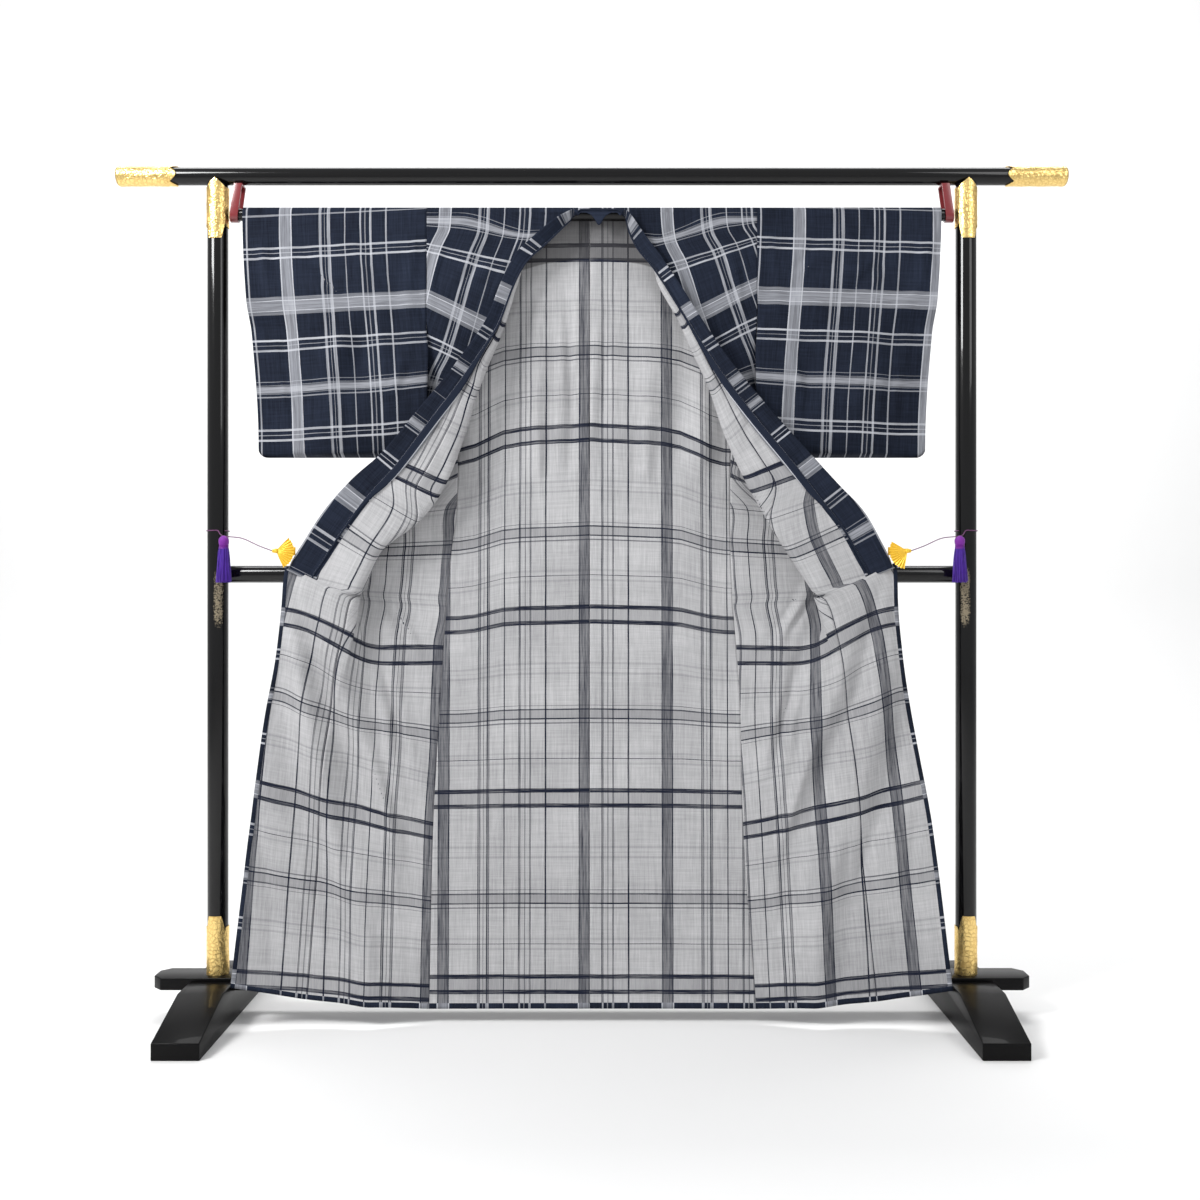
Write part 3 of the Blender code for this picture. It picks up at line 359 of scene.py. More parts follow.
# the garment's own sizes, in metres; a drop is a length down the cloth from the top of the shoulder
cloth = {
    "thick": 0.0009,
    "seamGap": 0.00004,
    "centreX": -0.004,        # back seam
    "sleeveSeam": 0.325,
    "sleeveJoin": 0.23,
    "sideSeamTop": 0.36,
    "hemDrop": 1.64,
    "collarEnd": 0.82,
    "neckDrop": 0.03,
    "neckLow": 0.021,         # between the collar's ends the cloth stops on the rod
    "okumiTop": 0.245,
    "panelWide": 0.270,       # a body panel of the front, how much it narrows to the hem, and the okumi
    "panelNarrows": 0.030,
    "okumiWide": 0.150,
    "rodDrop": 0.02,          # where the cloth leaves the rod, and the first rows of the front
    "rodDrops": (0.02, 0.025),
    "shoulderLean": 0.0023,   # the shoulder edge of the back leans forward by this, over this drop
    "shoulderRun": 0.21,
    "frontRun": 1.60,
    # drops where the front starts to lie double or turned back, does so fully, starts to end and ends
    "doubled": (0.34, 0.45, 0.82, 0.97),
    "lapel": (0.06, 0.20, 0.82, 0.97),
    "turnShare": 0.12,
    "turnBend": (0.004, 0.005),
    "foldShare": 0.10,
    "foldLean": 0.8,
    "foldRound": 0.008,
    "foldSwell": 0.75,        # the fold is this much rounder above the clip
    "clipFold": 0.012,
    "hemFold": 0.0115,
    "edgeFold": 0.0085,
    "creaseStep": 0.0003,
    "foldThick": 0.0016,
    "rodZ": 1.582,
    "rodRadius": 0.0138,      # middle of the cloth on the rod
    "steps": 14,
    "bodyColumns": 58,
    "okumiColumns": 34,
    "neckColumns": 9,
    "frontStep": 0.008,
    "backStep": 0.012,
}
# Rows of a front from the shoulder down: drop along the cloth, then out, y and z of the side seam,
# out and y of the outer turn, out, y and z of the fold and of the front edge.
sectionColumns = "drop seamOut seamY seamZ turnOut turnY foldOut foldY foldZ edgeOut edgeY edgeZ".split()
fronts = {
    -1: [
        (0.02, 0.325, -0.0138, 1.582, 0.312, -0.0138, 0.15, -0.0138, 1.582, 0.036, -0.0138, 1.582),
        (0.03, 0.325, -0.014, 1.572, 0.312, -0.014, 0.15, -0.0143, 1.572, 0.038, -0.0143, 1.572),
        (0.05, 0.325, -0.0144, 1.555, 0.312, -0.0145, 0.13, -0.018, 1.54, 0.06, -0.019, 1.548),
        (0.07, 0.325, -0.0148, 1.542, 0.312, -0.015, 0.12, -0.02, 1.514, 0.088, -0.0225, 1.52),
        (0.1, 0.325, -0.0153, 1.518, 0.312, -0.0156, 0.135, -0.023, 1.472, 0.131, -0.028, 1.478),
        (0.2, 0.325, -0.0177, 1.414, 0.312, -0.018, 0.174, -0.035, 1.342, 0.185, -0.043, 1.351),
        (0.28, 0.324, -0.018, 1.331, 0.314, -0.0186, 0.202, -0.043, 1.274, 0.221, -0.054, 1.293),
        (0.36, 0.319, -0.015, 1.25, 0.324, -0.018, 0.221, -0.05, 1.221, 0.256, -0.064, 1.239),
        (0.45, 0.268, -0.008, 1.165, 0.3225, -0.018, 0.243, -0.056, 1.145, 0.307, -0.072, 1.17),
        (0.56, 0.264, -0.01, 1.081, 0.3225, -0.024, 0.286, -0.063, 1.034, 0.379, -0.08, 1.073),
        (0.637, 0.266, -0.014, 1.001, 0.42, -0.03, 0.331, -0.066, 0.972, 0.425, -0.081, 1.023),
        (0.725, 0.275, -0.019, 0.92, 0.462, -0.036, 0.405, -0.068, 0.912, 0.478, -0.079, 0.953),
        (0.8, 0.282, -0.023, 0.841, 0.4725, -0.0392, 0.4335, -0.0712, 0.85, 0.531, -0.0755, 0.873),
        (0.82, 0.284, -0.024, 0.82, 0.475, -0.04, 0.44, -0.072, 0.835, 0.5435, -0.074, 0.8575),
        (0.835, 0.285, -0.025, 0.802, 0.47, -0.0405, 0.444, -0.0725, 0.823, 0.586, -0.0715, 0.886),
        (0.85, 0.286, -0.026, 0.785, 0.466, -0.041, 0.446, -0.073, 0.81, 0.591, -0.0705, 0.872),
        (0.9, 0.29, -0.029, 0.725, 0.45, -0.043, 0.455, -0.074, 0.76, 0.598, -0.068, 0.797),
        (1.08, 0.299, -0.036, 0.565, 0.41, -0.048, 0.5, -0.072, 0.578, 0.633, -0.062, 0.586),
        (1.25, 0.308, -0.042, 0.39, 0.42, -0.06, 0.52, -0.056, 0.376, 0.66, -0.07, 0.366),
        (1.64, 0.315, -0.052, 0.028, 0.43, -0.076, 0.56, -0.066, 0.052, 0.69, -0.088, 0.08),
    ],
    1: [
        (0.02, 0.325, -0.0138, 1.582, 0.312, -0.0138, 0.165, -0.0138, 1.582, 0.064, -0.0138, 1.582),
        (0.03, 0.325, -0.014, 1.572, 0.312, -0.014, 0.165, -0.0143, 1.572, 0.066, -0.0143, 1.572),
        (0.05, 0.325, -0.0143, 1.562, 0.312, -0.0145, 0.13, -0.018, 1.532, 0.074, -0.019, 1.541),
        (0.07, 0.325, -0.0146, 1.551, 0.312, -0.015, 0.12, -0.02, 1.502, 0.089, -0.0225, 1.51),
        (0.1, 0.325, -0.015, 1.532, 0.312, -0.0156, 0.122, -0.023, 1.467, 0.118, -0.028, 1.473),
        (0.2, 0.325, -0.0171, 1.439, 0.312, -0.0176, 0.169, -0.035, 1.364, 0.18, -0.043, 1.373),
        (0.28, 0.324, -0.018, 1.366, 0.314, -0.0186, 0.195, -0.043, 1.302, 0.216, -0.054, 1.313),
        (0.36, 0.319, -0.015, 1.269, 0.324, -0.018, 0.225, -0.05, 1.235, 0.254, -0.064, 1.254),
        (0.45, 0.28, -0.008, 1.165, 0.3225, -0.018, 0.256, -0.056, 1.141, 0.305, -0.072, 1.184),
        (0.56, 0.273, -0.01, 1.081, 0.3225, -0.024, 0.299, -0.063, 1.044, 0.392, -0.08, 1.075),
        (0.637, 0.272, -0.014, 1.001, 0.425, -0.03, 0.336, -0.066, 0.976, 0.442, -0.081, 1.01),
        (0.725, 0.272, -0.019, 0.926, 0.462, -0.036, 0.376, -0.068, 0.91, 0.485, -0.079, 0.954),
        (0.8, 0.2745, -0.023, 0.844, 0.4725, -0.0392, 0.415, -0.0712, 0.85, 0.527, -0.0755, 0.88),
        (0.82, 0.275, -0.024, 0.822, 0.475, -0.04, 0.424, -0.072, 0.835, 0.538, -0.074, 0.864),
        (0.835, 0.276, -0.025, 0.808, 0.47, -0.0405, 0.428, -0.0725, 0.823, 0.584, -0.0715, 0.892),
        (0.85, 0.277, -0.026, 0.795, 0.466, -0.041, 0.432, -0.073, 0.812, 0.587, -0.0705, 0.88),
        (0.9, 0.281, -0.029, 0.745, 0.45, -0.043, 0.447, -0.074, 0.768, 0.59, -0.068, 0.812),
        (1.08, 0.29, -0.036, 0.593, 0.4, -0.048, 0.49, -0.072, 0.59, 0.619, -0.062, 0.596),
        (1.25, 0.293, -0.042, 0.418, 0.41, -0.06, 0.51, -0.056, 0.398, 0.655, -0.07, 0.388),
        (1.64, 0.319, -0.052, 0.028, 0.43, -0.076, 0.56, -0.066, 0.048, 0.69, -0.088, 0.074),
    ],
}
backMiddle = [(0.026, -0.051), (0.30, -0.038), (0.60, -0.029), (0.82, -0.0225), (0.91, -0.0205),
              (1.20, 0.000), (1.582, 0.0138)]
# where the check lies: place of the wide stripe on each half, and tables of place against pattern
layout = {
    "bandX": {-1: -0.289, 1: 0.147},
    "turnEq": [(0.02, 0.312), (0.05, 0.310), (0.10, 0.293), (0.20, 0.265), (0.28, 0.244), (0.36, 0.222),
               (0.45, 0.200), (0.56, 0.175), (0.637, 0.142), (0.725, 0.105), (0.82, 0.100), (0.90, 0.133),
               (1.08, 0.182), (1.25, 0.181), (1.64, 0.178)],
    "frontWeft": [(0.00, -0.226), (0.035, -0.195), (0.104, -0.105), (0.20, 0.0), (0.28, 0.077),
                  (0.36, 0.164), (0.45, 0.254), (0.56, 0.359), (0.637, 0.436), (0.725, 0.523),
                  (0.82, 0.613), (0.90, 0.718), (1.08, 0.882), (1.25, 1.077), (1.60, 1.436), (1.66, 1.496)],
    "backWeftZero": 1.869,    # height at which the back's check would start
    "droop": [(0.0, 0.0), (0.14, 0.0085), (0.175, 0.015), (0.20, 0.028), (0.23, 0.0445), (0.26, 0.053),
              (0.34, 0.058)],
    "droopHeight": [(0.0, 0.0), (0.30, 0.0), (0.45, 0.05), (0.80, 0.45), (0.96, 0.62), (1.155, 1.0),
                    (1.30, 0.8), (1.45, 0.4), (1.51, 0.22), (1.60, 0.1)],
    "seamWeft": [(0.0, 1.498), (0.06, 1.436), (0.371, 1.077), (0.711, 0.718), (0.95, 0.466)],
    "edgeWeft": [(0.0, 1.541), (0.098, 1.436), (0.458, 1.077), (0.787, 0.718), (0.95, 0.542)],
    "rodWeft": (-0.235, 0.022, 0.035),     # on top of the rod, its change forwards, and more backwards
    "plainWeft": -0.055,      # no cross stripe here
    "plainWarp": 0.036,       # and no lengthwise one here
    "neckShift": 0.045,       # the cross stripes hang this much lower beside the neck
    "okumiStart": {-1: 0.146, 1: -0.076},
}


def smoothRead(table, at, column=1):
    # reads a table between its rows, without overshoot
    places = np.array([row[0] for row in table], float)
    values = np.array([row[column] for row in table], float)
    steps = np.diff(places)
    slopes = np.diff(values) / steps
    ends = np.zeros(len(places))
    ends[0], ends[-1] = slopes[0], slopes[-1]
    for i in range(1, len(places) - 1):
        before, after = slopes[i - 1], slopes[i]
        if before * after > 0:
            w1 = 2 * steps[i] + steps[i - 1]
            w2 = steps[i] + 2 * steps[i - 1]
            ends[i] = (w1 + w2) / (w1 / before + w2 / after)
    at = min(max(at, places[0]), places[-1])
    i = min(int(np.searchsorted(places, at, side="right")) - 1, len(places) - 2)
    h = steps[i]
    t = (at - places[i]) / h
    return ((2 * t ** 3 - 3 * t ** 2 + 1) * values[i] + (t ** 3 - 2 * t ** 2 + t) * h * ends[i]
            + (3 * t ** 2 - 2 * t ** 3) * values[i + 1] + (t ** 3 - t ** 2) * h * ends[i + 1])


def ease(low, high, value):
    t = np.clip((np.asarray(value, float) - low) / (high - low), 0.0, 1.0)
    return t * t * (3 - 2 * t)


def inZone(limits, value):
    # 0 before the zone and behind it, 1 in its middle
    start, full, fade, end = limits
    return ease(start, full, value) * (1 - ease(fade, end, value))


def readSection(side, column, drop):
    return smoothRead(fronts[side], drop, sectionColumns.index(column))


def readPoint(side, word, drop):
    return np.array([readSection(side, word + axis, drop) for axis in ("Out", "Y", "Z")])


def curveThrough(points, steps):
    points = [np.asarray(p, float) for p in points]
    padded = [2 * points[0] - points[1]] + points + [2 * points[-1] - points[-2]]
    out = []
    for p0, p1, p2, p3 in zip(padded, padded[1:], padded[2:], padded[3:]):
        t0 = 0.0
        t1 = t0 + max(np.linalg.norm(p1 - p0), 1e-6) ** 0.5
        t2 = t1 + max(np.linalg.norm(p2 - p1), 1e-6) ** 0.5
        t3 = t2 + max(np.linalg.norm(p3 - p2), 1e-6) ** 0.5
        t = np.linspace(t1, t2, steps, endpoint=False)[:, None]
        a1 = (t1 - t) / (t1 - t0) * p0 + (t - t0) / (t1 - t0) * p1
        a2 = (t2 - t) / (t2 - t1) * p1 + (t - t1) / (t2 - t1) * p2
        a3 = (t3 - t) / (t3 - t2) * p2 + (t - t2) / (t3 - t2) * p3
        b1 = (t2 - t) / (t2 - t0) * a1 + (t - t0) / (t2 - t0) * a2
        b2 = (t3 - t) / (t3 - t1) * a2 + (t - t1) / (t3 - t1) * a3
        out.append((t2 - t) / (t2 - t1) * b1 + (t - t1) / (t2 - t1) * b2)
    out.append(points[-1][None, :])
    return np.vstack(out)


def runLengths(curve):
    return np.concatenate([[0], np.cumsum(np.linalg.norm(np.diff(curve, axis=0), axis=1))])


def along(curve, fractions):
    lengths = runLengths(curve)
    wanted = np.asarray(fractions) * lengths[-1]
    return np.stack([np.interp(wanted, lengths, curve[:, k]) for k in range(3)], axis=1)


def columns(*parts):
    # arrays and single numbers side by side, as the columns of one table
    return np.stack(np.broadcast_arrays(*parts), axis=1).astype(float)


def frontSection(side, drop):
    # one crosswise section of a front, its length, and the place of the outer turn along it
    seam, fold, edge = (readPoint(side, word, drop) for word in ("seam", "fold", "edge"))
    turn = np.array([readSection(side, "turnOut", drop), readSection(side, "turnY", drop), 0.0])
    beforeTurn, afterTurn = abs(turn[0] - seam[0]), abs(turn[0] - fold[0])
    turn[2] = seam[2] + (fold[2] - seam[2]) * beforeTurn / (beforeTurn + afterTurn)
    doubled, lapel = inZone(cloth["doubled"], drop), inZone(cloth["lapel"], drop)
    bulge = cloth["foldRound"] * lapel * (1 + cloth["foldSwell"] * ease(0.64, 0.78, drop))
    inward, outward = cloth["turnBend"]
    # a point on each side of the turn and of the fold makes them round
    before, after = (turn + (far - turn) * cloth["turnShare"] * (1 - doubled)
                     + np.array([-inward, sign * outward, 0]) * doubled
                     for far, sign in ((seam, 1), (fold, -1)))
    near, past = (fold + (far - fold) * cloth["foldShare"] * (1 - lapel)
                  + np.array([cloth["foldLean"], sign, 0]) * bulge
                  for far, sign in ((turn, 1), (edge, -1)))
    steps = cloth["steps"]
    curve = curveThrough([seam, before, turn, after, near, fold, past, edge], steps)
    lengths = runLengths(curve)
    return curve, lengths[-1], lengths[2 * steps]


def okumiShare(drop):
    # the body panel's share of the front's width
    panel = cloth["panelWide"] - cloth["panelNarrows"] * ease(0.23, cloth["hemDrop"], drop)
    grown = min(max((drop - cloth["okumiTop"]) / (cloth["collarEnd"] - cloth["okumiTop"]), 0.0), 1.0)
    return float(panel / (panel + cloth["okumiWide"] * grown))


def clipFold(points, drop, shares):
    # the long soft fold that falls from the clip to the hem, and a trough beside it
    fade = ease(0.84, 1.0, drop) * (1 - 0.7 * ease(1.35, cloth["hemDrop"], drop))
    ridge = 0.93 - 0.62 * ease(0.80, 1.60, drop)
    swell = np.exp(-((shares - ridge) / 0.075) ** 2) - 0.7 * np.exp(-((shares - ridge - 0.15) / 0.07) ** 2)
    points[:, 1] -= cloth["clipFold"] * fade * swell
    return points


# creases pressed into the cloth: points seen from the front as (out, height), half width, depth to the viewer
creases = {
    "body": {
        "front": [
            ([(0.11, 1.545), (0.165, 1.47), (0.205, 1.4)], 0.014, 0.0038),
            ([(0.18, 1.56), (0.235, 1.48), (0.29, 1.42)], 0.016, -0.0044),
            ([(0.27, 1.56), (0.3, 1.45), (0.305, 1.35)], 0.012, 0.0034),
            ([(0.205, 1.38), (0.24, 1.29), (0.29, 1.21)], 0.013, 0.004),
            ([(0.3, 1.2), (0.29, 1.08), (0.33, 0.98)], 0.013, -0.0036),
            ([(0.566, 0.85), (0.511, 0.64), (0.466, 0.512), (0.408, 0.34), (0.375, 0.19)], 0.018, -0.0105),
            ([(0.6, 0.8), (0.56, 0.64), (0.52, 0.47), (0.49, 0.26)], 0.02, 0.0085),
            ([(0.52, 0.8), (0.468, 0.64), (0.42, 0.51), (0.365, 0.33)], 0.018, 0.009),
            ([(0.48, 0.85), (0.42, 0.74), (0.38, 0.6), (0.345, 0.42)], 0.018, -0.009),
            ([(0.43, 0.86), (0.365, 0.76), (0.33, 0.65)], 0.014, 0.007),
            ([(0.64, 0.42), (0.61, 0.25), (0.6, 0.06)], 0.022, -0.0045),
            ([(0.46, 0.33), (0.45, 0.18), (0.445, 0.04)], 0.024, 0.005),
            ([(0.36, 0.48), (0.365, 0.26), (0.36, 0.05)], 0.02, -0.004),
        ],
        "back": [
            ([(0.235, 1.33), (0.225, 1.05), (0.235, 0.76), (0.225, 0.42), (0.235, 0.06)], 0.022, 0.012),
            ([(0.18, 1.4), (0.165, 1.15), (0.175, 0.8), (0.165, 0.45), (0.175, 0.05)], 0.022, -0.012),
            ([(0.1, 1.48), (0.11, 1.2), (0.1, 0.9), (0.112, 0.6), (0.1, 0.3)], 0.02, 0.0095),
            ([(0.04, 1.45), (0.03, 1.15), (0.042, 0.85)], 0.017, -0.008),
            ([(0.05, 0.64), (0.04, 0.4), (0.06, 0.18), (0.075, 0.03)], 0.022, -0.007),
            ([(0.06, 1.5), (0.12, 1.44), (0.17, 1.35)], 0.014, 0.0026),
            ([(0.28, 1.12), (0.2, 1.06), (0.13, 1.02)], 0.016, -0.0022),
            ([(0.28, 0.76), (0.215, 0.7), (0.15, 0.69)], 0.015, 0.002),
        ],
    },
    "sleeve": {
        "front": [
            ([(0.52, 1.565), (0.46, 1.5), (0.385, 1.445)], 0.014, 0.004),
            ([(0.6, 1.57), (0.56, 1.48), (0.48, 1.4)], 0.015, -0.0048),
            ([(0.47, 1.56), (0.42, 1.48), (0.39, 1.42)], 0.014, -0.0022),
            ([(0.66, 1.54), (0.64, 1.44), (0.58, 1.35)], 0.016, 0.0046),
            ([(0.345, 1.54), (0.365, 1.43), (0.35, 1.3)], 0.014, 0.0042),
            ([(0.42, 1.42), (0.44, 1.29), (0.425, 1.15)], 0.021, -0.0064),
            ([(0.5, 1.38), (0.52, 1.26), (0.505, 1.14)], 0.02, 0.0062),
            ([(0.59, 1.4), (0.6, 1.28), (0.585, 1.15)], 0.018, -0.0052),
            ([(0.64, 1.33), (0.6, 1.24), (0.59, 1.14)], 0.014, 0.004),
            ([(0.37, 1.33), (0.4, 1.22), (0.38, 1.13)], 0.016, 0.0046),
        ],
        "back": [
            ([(0.42, 1.56), (0.43, 1.4), (0.415, 1.18)], 0.02, 0.0036),
            ([(0.5, 1.54), (0.51, 1.36), (0.5, 1.16)], 0.018, -0.0034),
            ([(0.59, 1.52), (0.585, 1.38), (0.6, 1.18)], 0.017, 0.0032),
            ([(0.36, 1.5), (0.375, 1.35), (0.36, 1.18)], 0.016, -0.0028),
        ],
    },
}
press = {
    "sway": 0.012,            # each crease is shifted by up to this, to the side and half of it in height
    "bank": 0.45,             # the cloth beside a crease moves the other way by this share
    "divide": (-0.012, -0.030),    # y between front and back at the shoulder, and its change to the hem
    "clear": (1.578, 1.535),       # no crease above the first height, whole ones below the second
    "blend": 0.004,
}


def zoneOf(points, part):
    # 1 on the front or on the back of the garment, easing to 0 at the rod and near the other part
    y, height = points[:, 1], points[:, 2]
    divide = press["divide"][0] + press["divide"][1] * ease(1.0, 0.1, height)
    blend = -press["blend"] if part == "front" else press["blend"]
    return ease(*press["clear"], height) * ease(0.0, blend, y - divide)


def pressCreases(points, piece, side):
    # soft uneven troughs and ridges: each vertex moves to the front or back by its distance to the lines
    out, height = points[:, 0] * side, points[:, 2]
    moved = np.zeros(len(points))
    lines = [(*row, part) for part in ("front", "back") for row in creases[piece][part]]
    for number, (line, half, depth, part) in enumerate(lines):
        sway = press["sway"] * side * math.sin(number * 2.3)
        line = np.array(line) + np.array([sway, 0.5 * sway])
        lengths = runLengths(line)
        nearest, reached = np.full(len(points), np.inf), np.zeros(len(points))
        for k in range(len(line) - 1):
            start, step = line[k], line[k + 1] - line[k]
            t = ((out - start[0]) * step[0] + (height - start[1]) * step[1]) / (step @ step)
            t = np.clip(t, 0.0, 1.0)
            away = np.hypot(out - start[0] - t * step[0], height - start[1] - t * step[1])
            closer = away < nearest
            nearest[closer] = away[closer]
            reached[closer] = (lengths[k] + t[closer] * (lengths[k + 1] - lengths[k])) / lengths[-1]
        uneven = 0.75 + 0.25 * np.sin(reached * 9 + number * 1.9)
        taper = np.sin(np.clip(reached, 0.02, 0.98) * math.pi) ** 0.6 * uneven
        width = half * (0.85 + 0.35 * np.sin(reached * 5 + number))
        bank = np.exp(-((nearest - 1.9 * width) / width) ** 2)
        shape = np.exp(-(nearest / width) ** 2) - press["bank"] * bank
        moved += depth * taper * shape * zoneOf(points, part)
    points[:, 1] -= moved


def neckPlaces(side, neck):
    last = cloth["centreX"] * side + cloth["seamGap"]
    return last + (neck - last) * np.linspace(1, 0, cloth["neckColumns"])[1:]


def backRow(side, drop, shares, neck):
    # a level row of the back, from the side seam to the back seam
    out, y, z = readPoint(side, "seam", drop)
    middle = smoothRead(backMiddle, z)
    if drop < cloth["sideSeamTop"]:
        # above the side seam the edge comes forward from the rod's back
        free = ease(cloth["rodDrop"], cloth["sideSeamTop"], drop)
        y = (1 - free) * cloth["rodRadius"] + free * readSection(side, "seamY", cloth["sideSeamTop"])
        if drop <= cloth["sleeveJoin"]:
            lean = cloth["shoulderLean"] * (drop - cloth["rodDrop"]) / cloth["shoulderRun"]
            y = max(y, cloth["rodRadius"] - lean)
    x = np.concatenate([out + (neck - out) * shares, neckPlaces(side, neck)])
    across = np.clip(x / out, 0.0, 1.0)
    return columns(x, middle + (y - middle) * across ** 3, z)


def gridMesh(rows):
    starts = np.cumsum([0] + [len(row) for row in rows])
    quads = []
    for r in range(len(rows) - 1):
        c = np.arange(min(len(rows[r]), len(rows[r + 1])) - 1)
        a, b = starts[r] + c, starts[r + 1] + c
        quads.append(np.stack([a, a + 1, b + 1, b], axis=1))
    return np.vstack(rows), np.vstack(quads), starts


def vertexNormals(points, quads):
    a, b, c, d = (points[quads[:, k]] for k in range(4))
    face = np.cross(c - a, d - b)
    normals = np.zeros_like(points)
    for k in range(4):
        np.add.at(normals, quads[:, k], face)
    return normals / np.maximum(np.linalg.norm(normals, axis=1, keepdims=True), 1e-12)


def shareNormal(first, a, second, b):
    # where two edges of cloth meet, both lean the same way
    shared = first[a] + second[b]
    first[a] = second[b] = shared / np.linalg.norm(shared)


def clothMesh(rows, side, piece):
    # the grid of one piece with its creases, and the row that each quad starts in
    points, quads, starts = gridMesh([row * np.array([side, 1, 1]) for row in rows])
    if side < 0:
        quads = quads[:, ::-1]
    pressCreases(points, piece, side)
    rowOf = np.searchsorted(starts, quads.min(axis=1), side="right") - 1
    return points, quads, starts, vertexNormals(points, quads), rowOf


def shellMesh(name, points, normals, quads, uvs, thick, finishes, turned=None):
    # a thin closed shell: face side first, reverse side next, and a rim along every free edge.
    # Where the cloth is turned under at a hem, its face shows on the reverse side too.
    count = len(points)
    thick = np.broadcast_to(np.asarray(thick, float), (count,))[:, None]
    corners = np.vstack([points + normals * thick / 2, points - normals * thick / 2])
    edges = np.concatenate([quads[:, [k, (k + 1) % 4]] for k in range(4)])
    keys = edges[:, 0].astype(np.int64) * count + edges[:, 1]
    backward = edges[:, 1].astype(np.int64) * count + edges[:, 0]
    free = edges[~np.isin(keys, backward)]
    rim = np.stack([free[:, 1], free[:, 0], free[:, 0] + count, free[:, 1] + count], axis=1)
    faces = np.vstack([quads, quads[:, ::-1] + count, rim])
    mesh = bpy.data.meshes.new(name)
    mesh.from_pydata(corners.tolist(), [], faces.tolist())
    for finish in finishes:
        mesh.materials.append(finish)
    index = np.zeros(len(faces), np.int32)
    index[len(quads):2 * len(quads)] = 1 if turned is None else ~turned
    mesh.polygons.foreach_set("material_index", index)
    layer = mesh.uv_layers.new(name="check")
    flat = np.vstack([uvs, uvs])[faces.ravel()] / check["uvSpan"] + 0.5
    layer.data.foreach_set("uv", flat.ravel())
    mesh.shade_smooth()
    mesh.update()
    return link(name, mesh)


def settle(thing, slotName, *nodes):
    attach(thing, "root")
    if nodes:
        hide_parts(*nodes)
    return thing


def frontWeft(drop, fractions, heights):
    # place along the length of the cloth: by the drop near the shoulder, by height near the hem
    upper = smoothRead(layout["frontWeft"], drop)
    upper = upper - layout["neckShift"] * ease(0.20, 0.85, fractions) * (1 - ease(0.02, 0.09, drop))
    seams = np.interp(heights, *zip(*layout["seamWeft"]))
    edges = np.interp(heights, *zip(*layout["edgeWeft"]))
    bent = ease(0.50, 0.70, heights)
    across = fractions + (ease(0.34, 1.0, fractions) - fractions) * bent
    return upper + (seams + (edges - seams) * across - upper) * ease(0.78, 0.95, drop)


